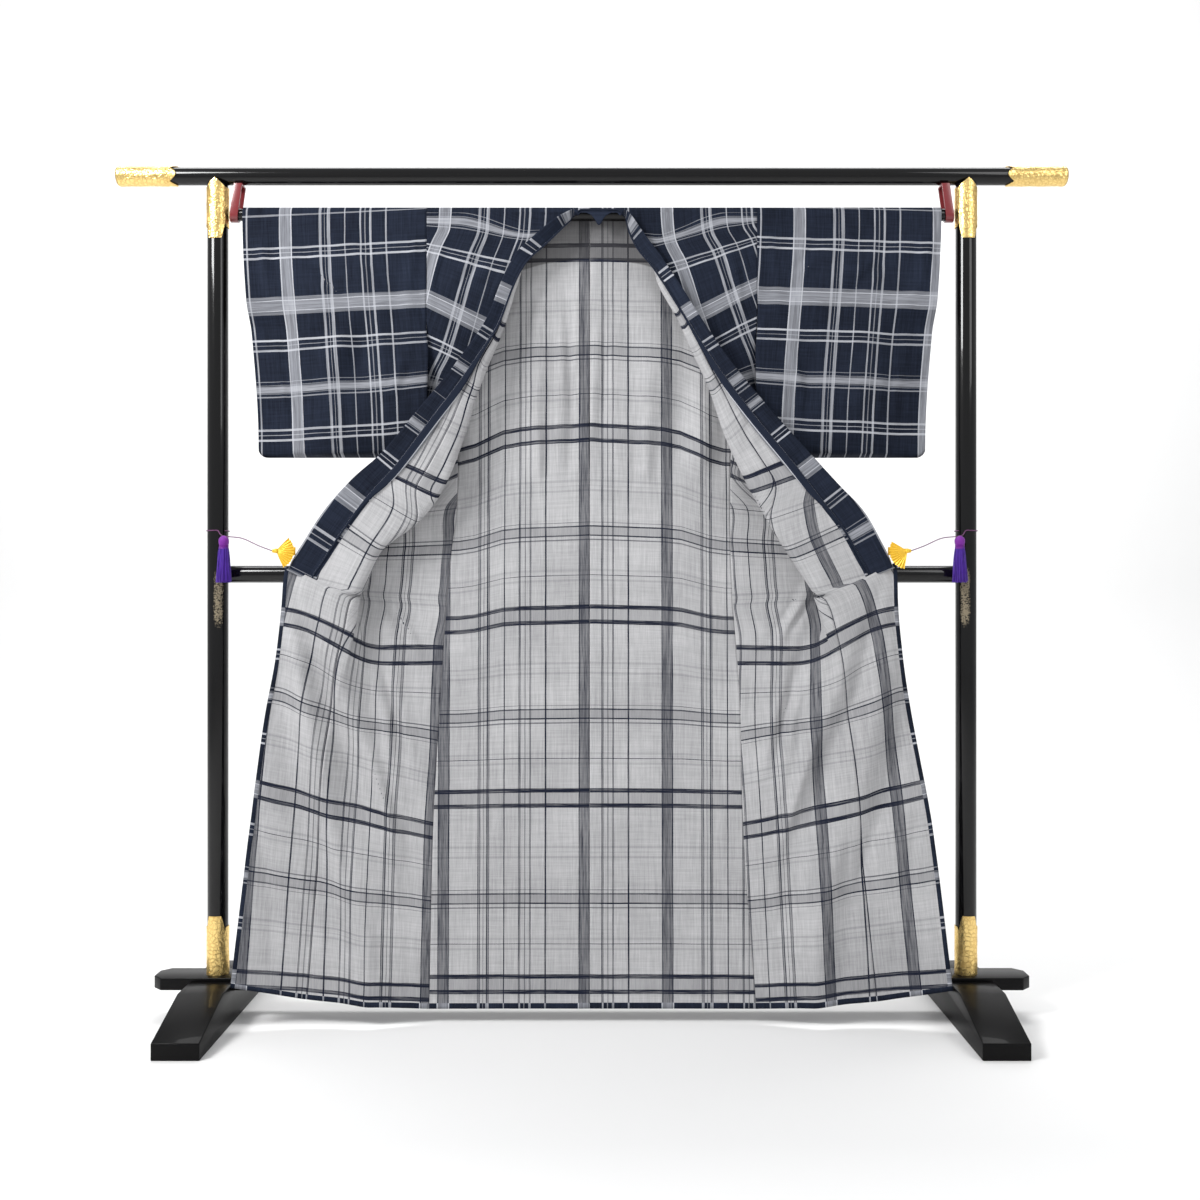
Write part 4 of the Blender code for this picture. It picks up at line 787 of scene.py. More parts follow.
def makeBody(word, side):
    # the body panel and the okumi of one half, from one surface so that their seam lies flat
    bandX, plainWeft, seamX = layout["bandX"][side], layout["plainWeft"], cloth["sleeveSeam"]
    neck = readSection(side, "edgeOut", 0.0)
    shares = np.linspace(0, 1, cloth["bodyColumns"])
    hem, tiny = cloth["hemDrop"], 1e-6
    hemFold = hem - cloth["hemFold"]
    inFold = hemFold + cloth["creaseStep"]
    rows, uvRows, stripRows, stripUvs, joins = [], [], [], [], []
    for drop in [hem, inFold, *np.linspace(hemFold, cloth["rodDrop"], int(hemFold / cloth["backStep"]))]:
        row = backRow(side, drop, shares, neck)
        z = row[0, 2]
        droop = np.interp(np.abs(row[:, 0]), *zip(*layout["droop"])) * smoothRead(layout["droopHeight"], z)
        rows.append(row)
        weft = plainWeft if drop > hemFold + tiny else z + droop - layout["backWeftZero"]
        uvRows.append(columns(side * row[:, 0] - bandX, weft))
    radius, (onTop, forwards, backwards) = cloth["rodRadius"], layout["rodWeft"]
    for turn in range(-80, 81, 10):
        # over the rod, from its back to its front
        x = np.concatenate([seamX + (neck - seamX) * shares, neckPlaces(side, neck)])
        angle = math.radians(turn)
        rows.append(columns(x, -radius * math.sin(angle), cloth["rodZ"] + radius * math.cos(angle)))
        weft = onTop + turn / 90 * forwards - backwards * (turn < 0) * (-turn / 90)
        uvRows.append(columns(side * x - bandX, weft))
    lower = np.linspace(cloth["neckDrop"], hemFold, int(cloth["frontRun"] / cloth["frontStep"]))
    for drop in [*cloth["rodDrops"], *lower, inFold, hem]:
        curve, length, turnAt = frontSection(side, drop)
        gap = cloth["seamGap"] / length
        share = okumiShare(drop) if drop > cloth["okumiTop"] else 1.0
        fractions = np.linspace(gap if drop >= cloth["sideSeamTop"] else 0.0,
                                share - (gap if drop > cloth["neckDrop"] else 0.0), cloth["bodyColumns"])
        row = clipFold(along(curve, fractions), drop, fractions)
        place = side * (smoothRead(layout["turnEq"], drop) - (fractions * length - turnAt)) - bandX
        if drop <= cloth["neckLow"]:
            x = neckPlaces(side, neck)
            row = np.vstack([row, columns(x, row[-1, 1], row[-1, 2])])
            place = np.concatenate([place, side * x - bandX])
            fractions = np.concatenate([fractions, np.ones(len(x))])
        inHem = drop > hemFold + tiny
        rows.append(row)
        uvRows.append(columns(place, plainWeft if inHem else frontWeft(drop, fractions, row[:, 2])))
        if share < 1.0:
            fold = min(cloth["edgeFold"] / length, (1 - share) * 0.3)
            start = 1 - gap - fold
            fractions = np.concatenate([
                np.linspace(share + gap, start, cloth["okumiColumns"] - 3),
                [start + min(cloth["creaseStep"] / length, fold / 4), 1 - gap - fold / 2, 1 - gap]])
            row = clipFold(along(curve, fractions), drop, fractions)
            joins.append((len(rows) - 1, len(stripRows)))
            stripRows.append(row)
            place = (fractions - share) * length + layout["okumiStart"][side]
            place[-3:] = layout["plainWarp"]
            stripUvs.append(columns(place, plainWeft if inHem else frontWeft(drop, fractions, row[:, 2])))
    for row in rows:
        row[0, 0] = min(row[0, 0], seamX - cloth["seamGap"])
    points, quads, starts, normals, rowOf = clothMesh(rows, side, "body")
    stripPoints, stripQuads, stripStarts, stripNormals, stripRowOf = clothMesh(stripRows, side, "body")
    for bodyRow, stripRow in joins:
        shareNormal(normals, starts[bodyRow + 1] - 1, stripNormals, stripStarts[stripRow])
    # the turned hems and the okumi's turned edge are thicker, and show their face inside
    thick = np.full(len(points), cloth["thick"])
    thick[:starts[2]] = thick[starts[-3]:] = cloth["foldThick"]
    body = shellMesh("kimonoBody." + word, points, normals, quads, np.vstack(uvRows), thick,
                     (cottonFace, cottonReverse), (rowOf <= 1) | (rowOf >= len(rows) - 3))
    thick = np.full(len(stripPoints), cloth["thick"])
    thick[stripStarts[-3]:] = cloth["foldThick"]
    for end in stripStarts[1:]:
        thick[end - 3:end] = cloth["foldThick"]
    column = stripQuads.min(axis=1) - stripStarts[stripRowOf]
    turned = (stripRowOf >= len(stripRows) - 3) | (column >= cloth["okumiColumns"] - 4)
    okumi = shellMesh("frontStrip." + word, stripPoints, stripNormals, stripQuads, np.vstack(stripUvs),
                      thick, (cottonFace, cottonReverse), turned)
    settle(body, "checked_cotton", "body_" + word)
    settle(okumi, "checked_cotton", "okumi_" + word)


makeBody("left", -1)
makeBody("right", 1)
print("body and front strips")


# sleeves
sleeve = {
    "bottom": 1.101,
    "cuffX": 0.688,
    "cuffDraw": 0.030,
    "cuffOpenZ": 1.360,
    "cornerRadius": 0.018,
    "bandX": {-1: -0.604, 1: 0.4085},
    "drift": 0.028,
    "bandZ": {-1: 1.4136, 1: 1.4203},
    "bandFall": {-1: 0.020, 1: 0.0138},
    "lastWarp": 0.258,        # the next wide stripe is in the seam
    "topWeft": -0.1835,       # no stripe shows on the rod's front
    "tuckIn": 0.0055,         # the loose inner edge laps over the body below the armhole
    "columns": 64,
    "levels": 60,
    "cornerLift": 0.013,
    "seamY": -0.005,
    "stitch": 0.0004,         # half the room between the layers of a closed seam
}
# height, then y of the front and the back at the armhole, then further out
sleeveWalls = [
    (1.115, -0.034, 0.016, -0.026, 0.016), (1.150, -0.045, 0.024, -0.034, 0.024),
    (1.230, -0.043, 0.024, -0.034, 0.025), (1.320, -0.027, 0.016, -0.030, 0.023),
    (1.385, -0.0184, 0.0115, -0.026, 0.021), (1.480, -0.0162, 0.0126, -0.020, 0.018),
    (1.582, -0.0138, 0.0138, -0.0138, 0.0138)]


def sleeveDepth(z, front, share):
    near, far = (smoothRead(sleeveWalls, z, column) for column in ((1, 3) if front else (2, 4)))
    y = near + (far - near) * ease(0.0, 0.35, share)
    shut = ease(0.60, 1.0, share) * ease(sleeve["cuffOpenZ"] + 0.05, sleeve["cuffOpenZ"] - 0.01, z)
    seam = sleeve["seamY"] + math.copysign(cloth["thick"] / 2 + sleeve["stitch"], y)
    return y + (seam - y) * shut


def makeSleeve(word, side):
    # rings from the armhole to the cuff, each up the back, over the rod and down the front
    inner = cloth["sleeveSeam"] + cloth["seamGap"] / 2
    radius, rodZ, corner = cloth["rodRadius"], cloth["rodZ"], sleeve["cornerRadius"]
    turns = [math.radians(turn) for turn in range(-90, 91, 15)]
    rows, uvRows = [], []
    spread = np.linspace(0, 1, sleeve["columns"])
    spread = np.concatenate([spread[:-1], 1 - (1 - spread[-2]) * np.array([0.66, 0.33, 0.1, 0.0])])
    for share in spread:
        fromCuff = (1 - share) * (sleeve["cuffX"] - sleeve["cuffDraw"] - inner)
        lift = corner - math.sqrt(corner ** 2 - (corner - fromCuff) ** 2) if fromCuff < corner else 0.0
        bottom = sleeve["bottom"] + min(lift, sleeve["cornerLift"])
        levels = bottom + (rodZ - bottom) * (np.arange(1, sleeve["levels"]) / sleeve["levels"])
        ring = [(sleeve["seamY"], bottom)]
        ring += [(sleeveDepth(z, False, share), z) for z in levels]
        ring += [(-radius * math.sin(turn), rodZ + radius * math.cos(turn)) for turn in turns]
        ring += [(sleeveDepth(z, True, share), z) for z in levels[::-1]]
        y, z = np.array(ring + ring[:1]).T
        cuff = sleeve["cuffX"] - sleeve["cuffDraw"] * ease(1.60, 1.12, z)
        start = inner - sleeve["tuckIn"] * ease(1.360, 1.300, z)
        row = columns(start + (cuff - start) * share, y, z)
        run = runLengths(row)
        top, quarter = run[len(levels) + 7], radius * math.pi / 2
        lowered = sleeve["bandFall"][side] * share ** 0.8
        weft = (run - top) - (rodZ - sleeve["bandZ"][side]) - quarter - lowered
        weft = np.where(run > top - quarter, np.maximum(weft, sleeve["topWeft"]), weft)
        drift = sleeve["drift"] * ease(1.58, 1.13, z)
        warp = side * row[:, 0] - sleeve["bandX"][side] + side * drift
        if side < 0:
            warp = np.minimum(warp, sleeve["lastWarp"])
        rows.append(row)
        uvRows.append(columns(warp, weft))
    points, quads, starts, normals = clothMesh(rows, side, "sleeve")[:4]
    for a, b in zip(starts[:-1], starts[1:] - 1):
        shareNormal(normals, a, normals, b)
    made = shellMesh("sleeve." + word, points, normals, quads, np.vstack(uvRows), cloth["thick"],
                     (cottonFace, cottonReverse))
    settle(made, "checked_cotton", "sleeve_" + word)


makeSleeve("left", -1)
makeSleeve("right", 1)
print("sleeves")


# collar
collar = {
    "drops": np.linspace(cloth["neckDrop"], cloth["collarEnd"], 120),
    "thick": 0.0022,
    "lift": 0.0026,
    "offset": 0.0009,
    "columns": 10,
    "widths": [(0.10, 0.025), (0.20, 0.025), (0.45, 0.031), (0.56, 0.037), (0.64, 0.044), (0.725, 0.050),
               (0.78, 0.050), (0.82, 0.047)],
    "neckEnd": 0.10,
    # down to there: drop, width, and the direction across
    "neck": [(0.03, 0.020, -0.05, -0.60, 0.50), (0.05, 0.025, 0.50, -0.52, 0.62),
             (0.07, 0.028, 0.72, -0.42, 0.55), (0.10, 0.028, 0.90, -0.33, 0.30)],
    "window": 0.04,           # further down the direction is square to this length of the front's edge
    "tilt": (0.33, 0.23),     # its lean forwards, and how much that fades
    "droopAtClip": 0.35,
    # where the check lies along each side, in two lengths with a jump between them
    "weft": {
        -1: ([(0.03, -0.206), (0.038, -0.195), (0.082, -0.105), (0.146, 0.0), (0.222, 0.077), (0.324, 0.164),
              (0.408, 0.236)],
             [(0.408, 0.095), (0.474, 0.164), (0.554, 0.254), (0.666, 0.359), (0.752, 0.436), (0.82, 0.523)]),
        1: ([(0.03, -0.214), (0.046, -0.195), (0.122, -0.105), (0.196, 0.0), (0.284, 0.077), (0.382, 0.164),
             (0.415, 0.190)],
            [(0.415, 0.128), (0.442, 0.164), (0.506, 0.254), (0.572, 0.359), (0.650, 0.436), (0.740, 0.523),
             (0.82, 0.605)]),
    },
    "warp": 0.247,
    "inner": [(0.03, 0.003), (0.20, 0.004), (0.32, 0.012), (0.50, 0.020), (0.60, 0.015), (0.68, 0.005),
              (0.82, 0.002)],
    "innerLeast": 0.002,
    "innerLean": 0.86,
    "innerBack": 0.0030,
    "innerThick": 0.6,
    "innerColumns": 5,
    "neckSteps": 34,
    "neckDown": (0.0, -0.10, -0.99),
    "neckSeamZ": 1.5860,
    "neckSeamY": -0.0172,
    "neckWidths": [(0.0, 0.016), (0.05, 0.007), (0.12, 0.005), (0.24, 0.005), (0.34, 0.009), (0.42, 0.018),
                   (0.48, 0.030), (0.52, 0.030), (0.58, 0.018), (0.66, 0.009), (0.76, 0.005), (0.88, 0.005),
                   (0.95, 0.007), (1.0, 0.016)],
    "neckWeft": -0.055,
}


def collarStations(side):
    # down one front: seam point, direction across, width, place in the check, and width turned in
    flip = np.array([side, 1, 1])
    upper, lower = collar["weft"][side]
    stations = []
    for drop in collar["drops"]:
        seam = readPoint(side, "edge", drop)
        if drop > collar["neckEnd"]:
            far = min(drop + collar["window"] / 2, cloth["collarEnd"])
            ahead = readPoint(side, "edge", far) - readPoint(side, "edge", far - collar["window"])
            cross = np.array([-ahead[2], 0.0, ahead[0]])
            cross /= np.linalg.norm(cross)
            cross[1] = -(collar["tilt"][0] - collar["tilt"][1] * ease(0.10, 0.40, drop))
            cross[2] *= 1 - collar["droopAtClip"] * ease(0.76, 0.82, drop)
            width = smoothRead(collar["widths"], drop)
        else:
            width, *cross = (smoothRead(collar["neck"], drop, k) for k in (1, 2, 3, 4))
        cross = cross / np.linalg.norm(cross)
        seam[1] -= collar["lift"] * ease(0.26, 0.16, drop)
        weft = smoothRead(lower if drop > lower[0][0] else upper, drop)
        stations.append((seam * flip, cross * flip, width, weft, smoothRead(collar["inner"], drop)))
    return stations


def makeCollar():
    left, right = collarStations(-1), collarStations(1)
    start, end = left[0][0], right[0][0]
    neck = []
    for share in np.linspace(0, 1, collar["neckSteps"])[1:-1]:
        seam = start + (end - start) * share
        turn = float(ease(0.0, 0.16, min(share, 1 - share)))
        seam[1] += (collar["neckSeamY"] - seam[1]) * turn
        seam[2] += (collar["neckSeamZ"] - seam[2]) * turn
        beside = left[0] if share < 0.5 else right[0]
        swing = beside[1] * (1 - turn) + np.array(collar["neckDown"]) * turn
        width = beside[2] * (1 - turn) + smoothRead(collar["neckWidths"], share) * turn
        neck.append((seam, swing / np.linalg.norm(swing), width, collar["neckWeft"], 0.0))
    shares = np.linspace(0, 1, collar["columns"])
    rim = 0.35 + 0.65 * (1 - (2 * shares - 1) ** 6)
    rim[:2] = 1.0
    thickness = collar["thick"] * np.append([collar["innerThick"]] * collar["innerColumns"], rim)
    innerShares = -np.append(np.linspace(1, 0.12, collar["innerColumns"] - 1), 0.03)[:, None]
    stations = left[::-1] + neck + right
    rows, uvRows = [], []
    for seam, cross, width, weft, inner in stations:
        # the inner half, turned in beside the outer one, then the outer half
        places = collar["offset"] + (width - collar["offset"]) * shares
        back = innerShares * max(inner, collar["innerLeast"])
        lean = np.array([cross[0] * collar["innerLean"], 0.0, cross[2] * collar["innerLean"]])
        turnedIn = (seam + lean * back + np.array([0.0, -collar["innerBack"], 0.0])
                    - np.array([0.0, 0.10, 0.0]) * back)
        rows.append(np.vstack([turnedIn, seam + cross * places[:, None]]))
        pattern = columns(collar["warp"] - np.concatenate([back[:, 0], places]), weft)
        pattern[:collar["innerColumns"], 1] = layout["plainWeft"]
        uvRows.append(pattern)
    points, quads = gridMesh(rows)[:2]
    quads = quads[:, ::-1]
    made = shellMesh("collar", points, vertexNormals(points, quads), quads, np.vstack(uvRows),
                     np.tile(thickness, len(stations)), (cottonFace, cottonFace))
    settle(made, "checked_cotton", "collar")


makeCollar()
print("collar")


# finishes of the stand
lacquered = {
    "black": (0.0035, 0.0033, 0.0035),
    "ground": (0.30, 0.25, 0.17),
    "dust": (0.25, 0.25, 0.25),
    # where the posts are rubbed: limits of x squared, of height, of x squared again, and of -y
    "posts": (0.51, 0.515, 0.575, 0.58),
    "heights": (0.74, 0.80, 0.86, 0.905),
    "strip": (0.519, 0.533, 0.540, 0.562),
    "front": (-0.004, 0.010),
}


def makeLacquer(name, gloss, rough):
    made = Finish(name, IOR=1.45, Specular_IOR_Level=gloss, Coat_Roughness=0.03)
    place = made.place()
    x, y, z = made.parts(place)
    speck, cloud = made.noise(place, 900, 3.0, 0.7), made.noise(place, 14, 3.0)
    chips = made.noise(place, 340, 3.0, 0.65)
    onPost, strip = [(x * x).between(*lacquered[word]) for word in ("posts", "strip")]
    rubbed = onPost * z.between(*lacquered["heights"]) * (y * -1).step(*lacquered["front"]) * strip
    worn = (rubbed * (chips * 2.2 + cloud - 1.05)).step(0.26, 0.50)
    dust = speck.step(0.66, 0.80) * 0.10
    colour = made.mix(worn * 0.8, lacquered["black"], lacquered["ground"])
    made.feed(Base_Color=made.mix(dust, colour, lacquered["dust"]), Coat_Weight=gloss - worn * gloss,
              Roughness=rough + cloud * 0.06 + worn * 0.4,
              Normal=made.bump(cloud * 0.6 + speck * 0.05 - worn * 0.6, 0.0004, 0.35))
    return made.material


def makeGilt(name, colour, dark, scale, depth, metal=1.0):
    # gilt with chased leaf work in fine relief, darker where the ground is sunk
    made = Finish(name, Metallic=metal)
    place = made.place()
    warped = made.noise(place, 60, 2.0)
    cells = made.node("TexVoronoi", {"feature": "DISTANCE_TO_EDGE"}, Vector=place, Scale=scale,
                      Randomness=0.9)
    fine = made.node("TexVoronoi", {"feature": "F1"}, Vector=place, Scale=scale * 3.1)
    veins = cells.step(0.02, 0.16)
    tarnish = made.noise(place, 30, 4.0, 0.6).step(0.52, 0.78)
    height = veins * 0.7 + fine * 0.35 + warped * 0.3
    made.feed(Base_Color=made.mix((1 - veins) * 0.30 + tarnish * 0.30, colour, dark),
              Roughness=0.24 + fine * 0.14 + tarnish * 0.16, Normal=made.bump(height, depth, 0.8))
    return made.material


def makeRedLacquer():
    made = Finish("redLacquer", Coat_Roughness=0.15)
    place = made.place()
    cloud = made.noise(place, 40, 3.0)
    rub = made.noise(place, 260, 3.0, 0.7).step(0.60, 0.78)
    made.feed(Base_Color=made.mix(rub * 0.5, (0.19, 0.018, 0.022), (0.36, 0.09, 0.09)),
              Coat_Weight=0.3 + cloud * 0.2,
              Roughness=0.28 + rub * 0.2, Normal=made.bump(cloud + rub * 0.3, 0.0003, 0.4))
    return made.material


def makeSilk(name, colour, light, scale):
    # twisted silk threads: the sheen runs in fine lines
    made = Finish(name, Sheen_Weight=0.25, Sheen_Roughness=0.35, Specular_IOR_Level=0.35)
    place = made.place()
    x, y, z = made.parts(place)
    thread = made.noise(made.vector(x * scale, y * scale, z * scale * 0.06), 1.0, 2.0)
    shade = made.noise(place, 90, 2.0)
    made.feed(Base_Color=made.mix((thread * 0.8 + shade * 0.4 - 0.1).clamp(), colour, light),
              Roughness=0.50 + thread * 0.2, Normal=made.bump(thread, 0.0003, 0.7))
    return made.material


lacquer = makeLacquer("blackLacquer", 0.26, 0.10)
boardLacquer = makeLacquer("boardLacquer", 0.08, 0.30)
gilt = makeGilt("chasedGilt", (0.96, 0.70, 0.27), (0.50, 0.27, 0.06), 120, 0.0006)
fanGilt = makeGilt("fanGilt", (0.92, 0.60, 0.055), (0.62, 0.33, 0.02), 260, 0.0001, 0.35)
redLacquer = makeRedLacquer()
cordSilk = makeSilk("cordSilk", (0.075, 0.016, 0.075), (0.20, 0.06, 0.17), 3000)
tasselSilk = makeSilk("tasselSilk", (0.026, 0.004, 0.130), (0.090, 0.016, 0.42), 2600)
headSilk = makeSilk("headSilk", (0.085, 0.006, 0.17), (0.27, 0.025, 0.40), 2600)
print("finishes of the stand")


# the stand
stand = {
    "postX": 0.740,
    "postRadius": 0.0203,
    "postLift": 0.0003,       # a post starts this far over the plank, and goes this far into the bar
    "postSink": 0.001,
    "barZ": 1.658,
    "barRadius": 0.0173,
    "barHalf": 0.936,
    "rodZ": 1.582,
    "rodRadius": 0.012,
    "rodHalf": 0.714,
    "railZ": 0.871,
    "railRadius": 0.0170,
    "railSink": 0.002,
    "plankTop": 0.082,
    "rim": 0.0014,            # rounding of a rod's end
    "bevel": 0.0016,          # rounding of a board's edges, and of a strap's
    "strapBevel": 0.0009,
    "steps": 72,
    "giltSteps": 96,
    "nailDome": 0.55,         # height of a nail's head as a share of its radius
    "rodAngle": 50,
    "boardAngle": 40,
    "bevelAngle": 25,
}
scroll = {
    "edge": 0.12,             # share of the length that stays quiet at each end
    "waves": 3,
    "swing": 2.6,
    "pitch": 70,
    "leaves": 9,
    "leafLean": 240,
    "leafPitch": 330,
}


def deselect():
    bpy.ops.object.select_all(action="DESELECT")


def pick(thing):
    deselect()
    thing.select_set(True)
    bpy.context.view_layer.objects.active = thing


def applyModifier(thing, kind, **settings):
    pick(thing)
    made = thing.modifiers.new(kind.lower(), kind)
    for key, value in settings.items():
        setattr(made, key, value)
    bpy.ops.object.modifier_apply(modifier=made.name)


def placeMesh(thing, matrix):
    thing.data.transform(matrix)
    thing.data.update()


def edit(thing, *work):
    # mesh operators in edit mode, each on the whole mesh
    pick(thing)
    bpy.ops.object.mode_set(mode="EDIT")
    for operator, settings in work:
        bpy.ops.mesh.select_all(action="SELECT")
        operator(**settings)
    bpy.ops.object.mode_set(mode="OBJECT")


def smoothed(thing, degrees):
    pick(thing)
    bpy.ops.object.shade_smooth_by_angle(angle=math.radians(degrees))
    return thing


def spun(name, profile, finish, steps=stand["steps"]):
    # a profile of (radius, height) spun round the upright axis
    mesh = bpy.data.meshes.new(name)
    mesh.from_pydata([(radius, 0, height) for radius, height in profile],
                     [(k, k + 1) for k in range(len(profile) - 1)], [])
    mesh.materials.append(finish)
    thing = link(name, mesh)
    turn = {"steps": steps, "angle": 2 * math.pi, "center": (0, 0, 0), "axis": (0, 0, 1)}
    edit(thing, (bpy.ops.mesh.spin, turn),
         (bpy.ops.mesh.remove_doubles, {"threshold": 1e-5}),
         (bpy.ops.mesh.normals_make_consistent, {"inside": False}))
    return thing


def rodProfile(radius, half):
    rim = stand["rim"]
    corner = [(radius - rim + rim * math.sin(a), half - rim + rim * math.cos(a))
              for a in np.linspace(0, math.pi / 2, 5)]
    upper = [(0.0, half)] + corner
    return upper + [(r, -h) for r, h in upper[::-1]]


def makeRod(name, radius, half, centre, node, upright=False):
    thing = spun(name, rodProfile(radius, half), lacquer)
    turn = Matrix() if upright else Matrix.Rotation(math.pi / 2, 4, "Y")
    placeMesh(thing, Matrix.Translation(centre) @ turn)
    return settle(smoothed(thing, stand["rodAngle"]), "black_lacquer", node)


def makeBoard(name, node, finish, slotName, bevel):
    # a copy of a node with flat sides: its loose triangles merged, then every edge rounded
    thing = link(name, bpy.data.objects[node].data.copy())
    thing.data.materials.clear()
    thing.data.materials.append(finish)
    edit(thing, (bpy.ops.mesh.remove_doubles, {"threshold": 1e-5}),
         (bpy.ops.mesh.dissolve_limited, {"angle_limit": math.radians(1)}))
    applyModifier(thing, "BEVEL", width=bevel, segments=3, limit_method="ANGLE",
                  angle_limit=math.radians(stand["bevelAngle"]))
    return settle(smoothed(thing, stand["boardAngle"]), slotName, node)


def joined(main, *others):
    deselect()
    for thing in (main, *others):
        thing.select_set(True)
    bpy.context.view_layer.objects.active = main
    bpy.ops.object.join()
    return main


def rivet(place, outward, size):
    # a small domed nail head
    deselect()
    bpy.ops.mesh.primitive_uv_sphere_add(segments=10, ring_count=6, radius=size, location=(0, 0, 0))
    thing = bpy.context.object
    turn = Vector(outward).to_track_quat("Z", "Y").to_matrix().to_4x4()
    placeMesh(thing, Matrix.Translation(place) @ turn @ Matrix.Diagonal((1, 1, stand["nailDome"], 1)))
    thing.data.materials.append(gilt)
    return thing


def chase(thing, depth, low, high):
    # leaf scrolls raised on a gilt sleeve, quiet near its two edges
    edge = scroll["edge"]
    for vertex in thing.data.vertices:
        x, y, z = vertex.co
        radius, angle = math.hypot(x, y), math.atan2(y, x)
        if radius < 1e-6:
            continue
        share = (z - low) / (high - low)
        quiet = float(ease(0.0, edge, share) * ease(1.0, 1 - edge, share))
        sway = math.sin(angle * scroll["waves"] + scroll["swing"] * math.sin(z * scroll["pitch"]))
        leaf = math.cos(angle * scroll["leaves"] - z * scroll["leafLean"])
        leaf *= math.cos(z * scroll["leafPitch"] + angle * 2)
        rise = depth * (0.35 + quiet * (0.4 * sway * abs(sway) + 0.5 * leaf) + 0.5 * (1 - quiet))
        vertex.co.x = x * (radius + rise) / radius
        vertex.co.y = y * (radius + rise) / radius


def finishGilt(thing, studs, node):
    return settle(smoothed(joined(thing, *studs), stand["rodAngle"]), "gold_metal", node)


# the gilt sleeves on the posts
fitting = {
    "wall": 0.0011,
    "play": 0.0003,           # room between a sleeve and its post
    "relief": 0.00045,
    "levels": 44,
    "topLow": (1.556, 1.5315),    # heights of an edge at the sides and in the middle
    "topHigh": (1.634, 1.650),
    "footHigh": (0.176, 0.199),
    "cuspEnd": 0.95,          # radians from the front to the end of the middle
    "notch": (0.10, 0.25),    # width of the notch there, and its share of the step
    "nailLean": 0.55,         # radians from the front to the nails
    "nailInset": 0.006,
    "nailRise": 0.0016,
    "nailSize": 0.0014,
}


def makeSleeveFitting(name, node, centreX, lowAt, highAt, low, high):
    # a chased sleeve: its two edges are cut to cusps by moving each column of vertices
    radius, levels = stand["postRadius"] + fitting["play"], fitting["levels"]
    thing = spun(name, [(radius, low + (high - low) * k / levels) for k in range(levels + 1)], gilt,
                 stand["giltSteps"])
    chase(thing, fitting["relief"], low, high)
    for vertex in thing.data.vertices:
        front = abs(math.atan2(vertex.co.y, vertex.co.x) + math.pi / 2)
        back = abs(math.atan2(vertex.co.y, vertex.co.x) - math.pi / 2)
        fromFront = min(front, 2 * math.pi - front, back)
        share = (vertex.co.z - low) / (high - low)
        vertex.co.z = lowAt(fromFront) + (highAt(fromFront) - lowAt(fromFront)) * share
    applyModifier(thing, "SOLIDIFY", thickness=fitting["wall"], offset=1.0, use_even_offset=True)
    placeMesh(thing, Matrix.Translation((centreX, 0, 0)))
    studs, lean, reach = [], fitting["nailLean"], radius + fitting["nailRise"]
    for angle in (sign * math.pi / 2 + turn for sign in (-1, 1) for turn in (-lean, lean)):
        outward = (math.cos(angle), math.sin(angle), 0)
        for z in (lowAt(lean) + fitting["nailInset"], highAt(lean) - fitting["nailInset"]):
            place = (centreX + reach * outward[0], reach * outward[1], z)
            studs.append(rivet(place, outward, fitting["nailSize"]))
    return finishGilt(thing, studs, node)


def cusp(fromFront, side, middle):
    # the height of a cut edge: one level in the middle, a small notch, another level at the sides
    end, (width, depth) = fitting["cuspEnd"], fitting["notch"]
    share = float(ease(end, fitting["nailLean"], fromFront))
    notch = math.exp(-((fromFront - end) / width) ** 2)
    return side + (middle - side) * share + (side - middle) * depth * notch


def peak(fromFront, side, middle):
    # the height of an edge that rises to a point in front
    return side + (middle - side) * max(0.0, 1 - fromFront / fitting["cuspEnd"])


# the gilt caps of the bar
cap = {
    "length": 0.118,
    "ground": 0.0189,         # radius under the relief
    "play": 0.0006,
    "relief": 0.0007,
    "levels": 40,
    "dome": [(0.0, 0.0035), (0.55, 0.0032), (0.86, 0.0016), (0.97, -0.0008)],
    "shoulder": 0.003,
    "lobes": 4,
    "lobeDepth": 0.013,
    "nails": 8,
    "nailInset": (0.008, 0.018),  # from the end and from the mouth
    "nailSize": 0.0016,
}


def makeCap(name, node, side):
    # a turned shell with a domed end and a scalloped mouth
    radius, length, outer = stand["barRadius"] + cap["play"], cap["length"], cap["ground"]
    levels, shoulder = cap["levels"], cap["shoulder"]
    profile = [(outer * share, height) for share, height in cap["dome"]]
    profile += [(outer, -shoulder - (length - shoulder) * k / levels) for k in range(levels + 1)]
    profile += [(radius, -length)]
    thing = spun(name, profile, gilt, stand["giltSteps"])
    chase(thing, cap["relief"], -length, 0.0)
    for vertex in thing.data.vertices:
        if vertex.co.z < -length * 0.5:
            lobe = 0.5 + 0.5 * math.cos(cap["lobes"] * math.atan2(vertex.co.y, vertex.co.x))
            share = (-vertex.co.z - length * 0.5) / (length * 0.5)
            vertex.co.z += cap["lobeDepth"] * (1 - lobe ** 0.6) * share
    placeMesh(thing, Matrix.Translation((side * stand["barHalf"], 0, stand["barZ"]))
              @ Matrix.Rotation(side * math.pi / 2, 4, "Y"))
    studs, (fromEnd, fromMouth) = [], cap["nailInset"]
    for angle in (2 * math.pi * k / cap["nails"] for k in range(cap["nails"])):
        outward = (0, math.cos(angle), math.sin(angle))
        for inset in (fromEnd, length - fromMouth):
            place = (side * (stand["barHalf"] - inset), outer * outward[1],
                     stand["barZ"] + outer * outward[2])
            studs.append(rivet(place, outward, cap["nailSize"]))
    return finishGilt(thing, studs, node)


